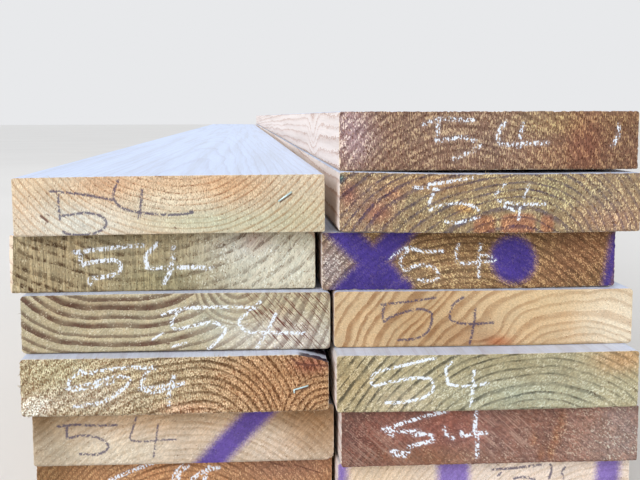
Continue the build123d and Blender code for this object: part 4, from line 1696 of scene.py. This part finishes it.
FLOOR_REACH = 40.0  # metres each way
LAMP_HEADING = (2.5, 3.5, -1.8)
TOP_LAMP_HEIGHT, TOP_LAMP_SIZE = 3.6, (3.0, 7.0)
SENSOR_WIDTH = 36  # millimetres
VIEW_REACH = 200  # metres
DOWN = (0, 0, -1)


def plain_material(name, colour):
    material, b, shader, place = new_material(name)
    shade = b.ease(b.noise(b.scaled(place, (900, 900, 900)), 2.0), 0.3, 0.7, 0.97, 1.0)
    b.feed(shader.inputs["Base Color"], b.tinted(colour, b.join(shade, shade, shade)))
    shader.inputs["Roughness"].default_value = 0.9
    return material


def add_floor(collection, colour):
    corners = [(x * FLOOR_REACH, y * FLOOR_REACH, 0) for x, y in ((-1, -1), (1, -1), (1, 1), (-1, 1))]
    mesh = bpy.data.meshes.new("floor")
    mesh.from_pydata(corners, [], [(0, 1, 2, 3)])
    mesh.materials.append(plain_material("floor", colour))
    floor = bpy.data.objects.new("floor", mesh)
    collection.objects.link(floor)


def add_lamp(collection, name, kind, power, heading, place=(0, 0, 0)):
    """A lamp that shines in one direction, as its light data."""
    light = bpy.data.lights.new(name, kind)
    light.energy = power
    lamp = bpy.data.objects.new(name, light)
    lamp.location = place
    lamp.rotation_euler = Vector(heading).to_track_quat("-Z", "Y").to_euler()
    collection.objects.link(lamp)
    return light


def add_lamps(collection, settings):
    """A wide soft light from before the stack, and a long lamp over it."""
    front = add_lamp(collection, "front_light", "SUN", settings.lamp, LAMP_HEADING)
    front.angle = settings.lamp_spread
    top = add_lamp(collection, "top_lamp", "AREA", settings.top_lamp, DOWN, (0, 0, TOP_LAMP_HEIGHT))
    top.shape = "RECTANGLE"
    top.size, top.size_y = TOP_LAMP_SIZE


def set_world(scene, settings):
    """Even light from all round, and a pale backdrop where the camera or a reflection looks."""
    world = bpy.data.worlds.new("studio")
    world.use_nodes = True
    world.node_tree.nodes.clear()
    b = Bench(world.node_tree)
    light = b.add("Background", (1, 1, 1), settings.sky)
    seen = b.add("Background", settings.backdrop, 1.0)
    path = b.add("LightPath")
    direct = b.math("MAXIMUM", b.read(path, "Is Camera Ray"), b.read(path, "Is Transmission Ray"))
    share = b.math("MAXIMUM", direct, b.read(path, "Is Glossy Ray"))
    both = b.add("MixShader", share, b.read(light), b.read(seen))
    b.add("OutputWorld", b.read(both))
    scene.world = world


def add_camera(collection, settings):
    data = bpy.data.cameras.new("camera")
    data.lens = settings.lens
    data.sensor_width = SENSOR_WIDTH
    data.clip_end = VIEW_REACH
    heading, dip = settings.heading, settings.dip
    ahead = Vector((math.sin(heading) * math.cos(dip), math.cos(heading) * math.cos(dip), -math.sin(dip)))
    turn = ahead.to_track_quat("-Z", "Y").to_matrix().to_4x4()
    camera = bpy.data.objects.new("camera", data)
    camera.matrix_world = Matrix.Translation(settings.eye) @ turn @ Matrix.Rotation(-settings.roll, 4, "Z")
    collection.objects.link(camera)
    return camera


class LUMBER_OT_stage(bpy.types.Operator):
    """Set the pale floor, the soft light and the camera"""

    bl_idname = "lumber.stage"
    bl_label = "Set Stage"

    def execute(self, context):
        settings = context.scene.lumber_stage
        add_floor(context.collection, settings.floor)
        add_lamps(context.collection, settings)
        set_world(context.scene, settings)
        context.scene.camera = add_camera(context.collection, settings)
        context.scene.view_settings.view_transform = "Standard"
        return {"FINISHED"}


class LUMBER_PT_panel(bpy.types.Panel):
    """Lists the steps and settings of the stack"""

    bl_label = "Stack of Lumber"
    bl_space_type = "VIEW_3D"
    bl_region_type = "UI"
    bl_category = "Lumber"

    def draw(self, context):
        for operator, name in STEPS:
            self.layout.operator(operator.bl_idname)
            settings = getattr(context.scene, name)
            for key in settings.bl_rna.properties.keys():
                if key not in ("rna_type", "name"):
                    self.layout.prop(settings, key)


STEPS = [
    (LUMBER_OT_boards, "lumber"),
    (LUMBER_OT_staples, "lumber_staple"),
    (LUMBER_OT_stage, "lumber_stage"),
]
SETTINGS = {
    "lumber": LumberSettings,
    "lumber_staple": LumberStapleSettings,
    "lumber_stage": LumberStageSettings,
}
CLASSES = [LumberBoardLook, *SETTINGS.values(), *(operator for operator, _ in STEPS), LUMBER_PT_panel]


def register():
    for item in CLASSES:
        bpy.utils.register_class(item)
    for name, kind in SETTINGS.items():
        setattr(bpy.types.Scene, name, PointerProperty(type=kind))
    bpy.types.Scene.lumber_looks = CollectionProperty(type=LumberBoardLook)


def unregister():
    del bpy.types.Scene.lumber_looks
    for name in SETTINGS:
        delattr(bpy.types.Scene, name)
    for item in reversed(CLASSES):
        bpy.utils.unregister_class(item)


def set_looks(scene):
    """Copies the table of looks into the scene's settings, where a user can change them."""
    for node, look in BOARD_LOOKS.items():
        item = scene.lumber_looks.add()
        item.name = node
        for key, value in look.items():
            setattr(item, key, value)


def main():
    register()
    set_looks(bpy.context.scene)
    bpy.ops.lumber.boards()
    bpy.ops.lumber.staples()
    bpy.ops.lumber.stage()


if __name__ == "__main__":
    main()
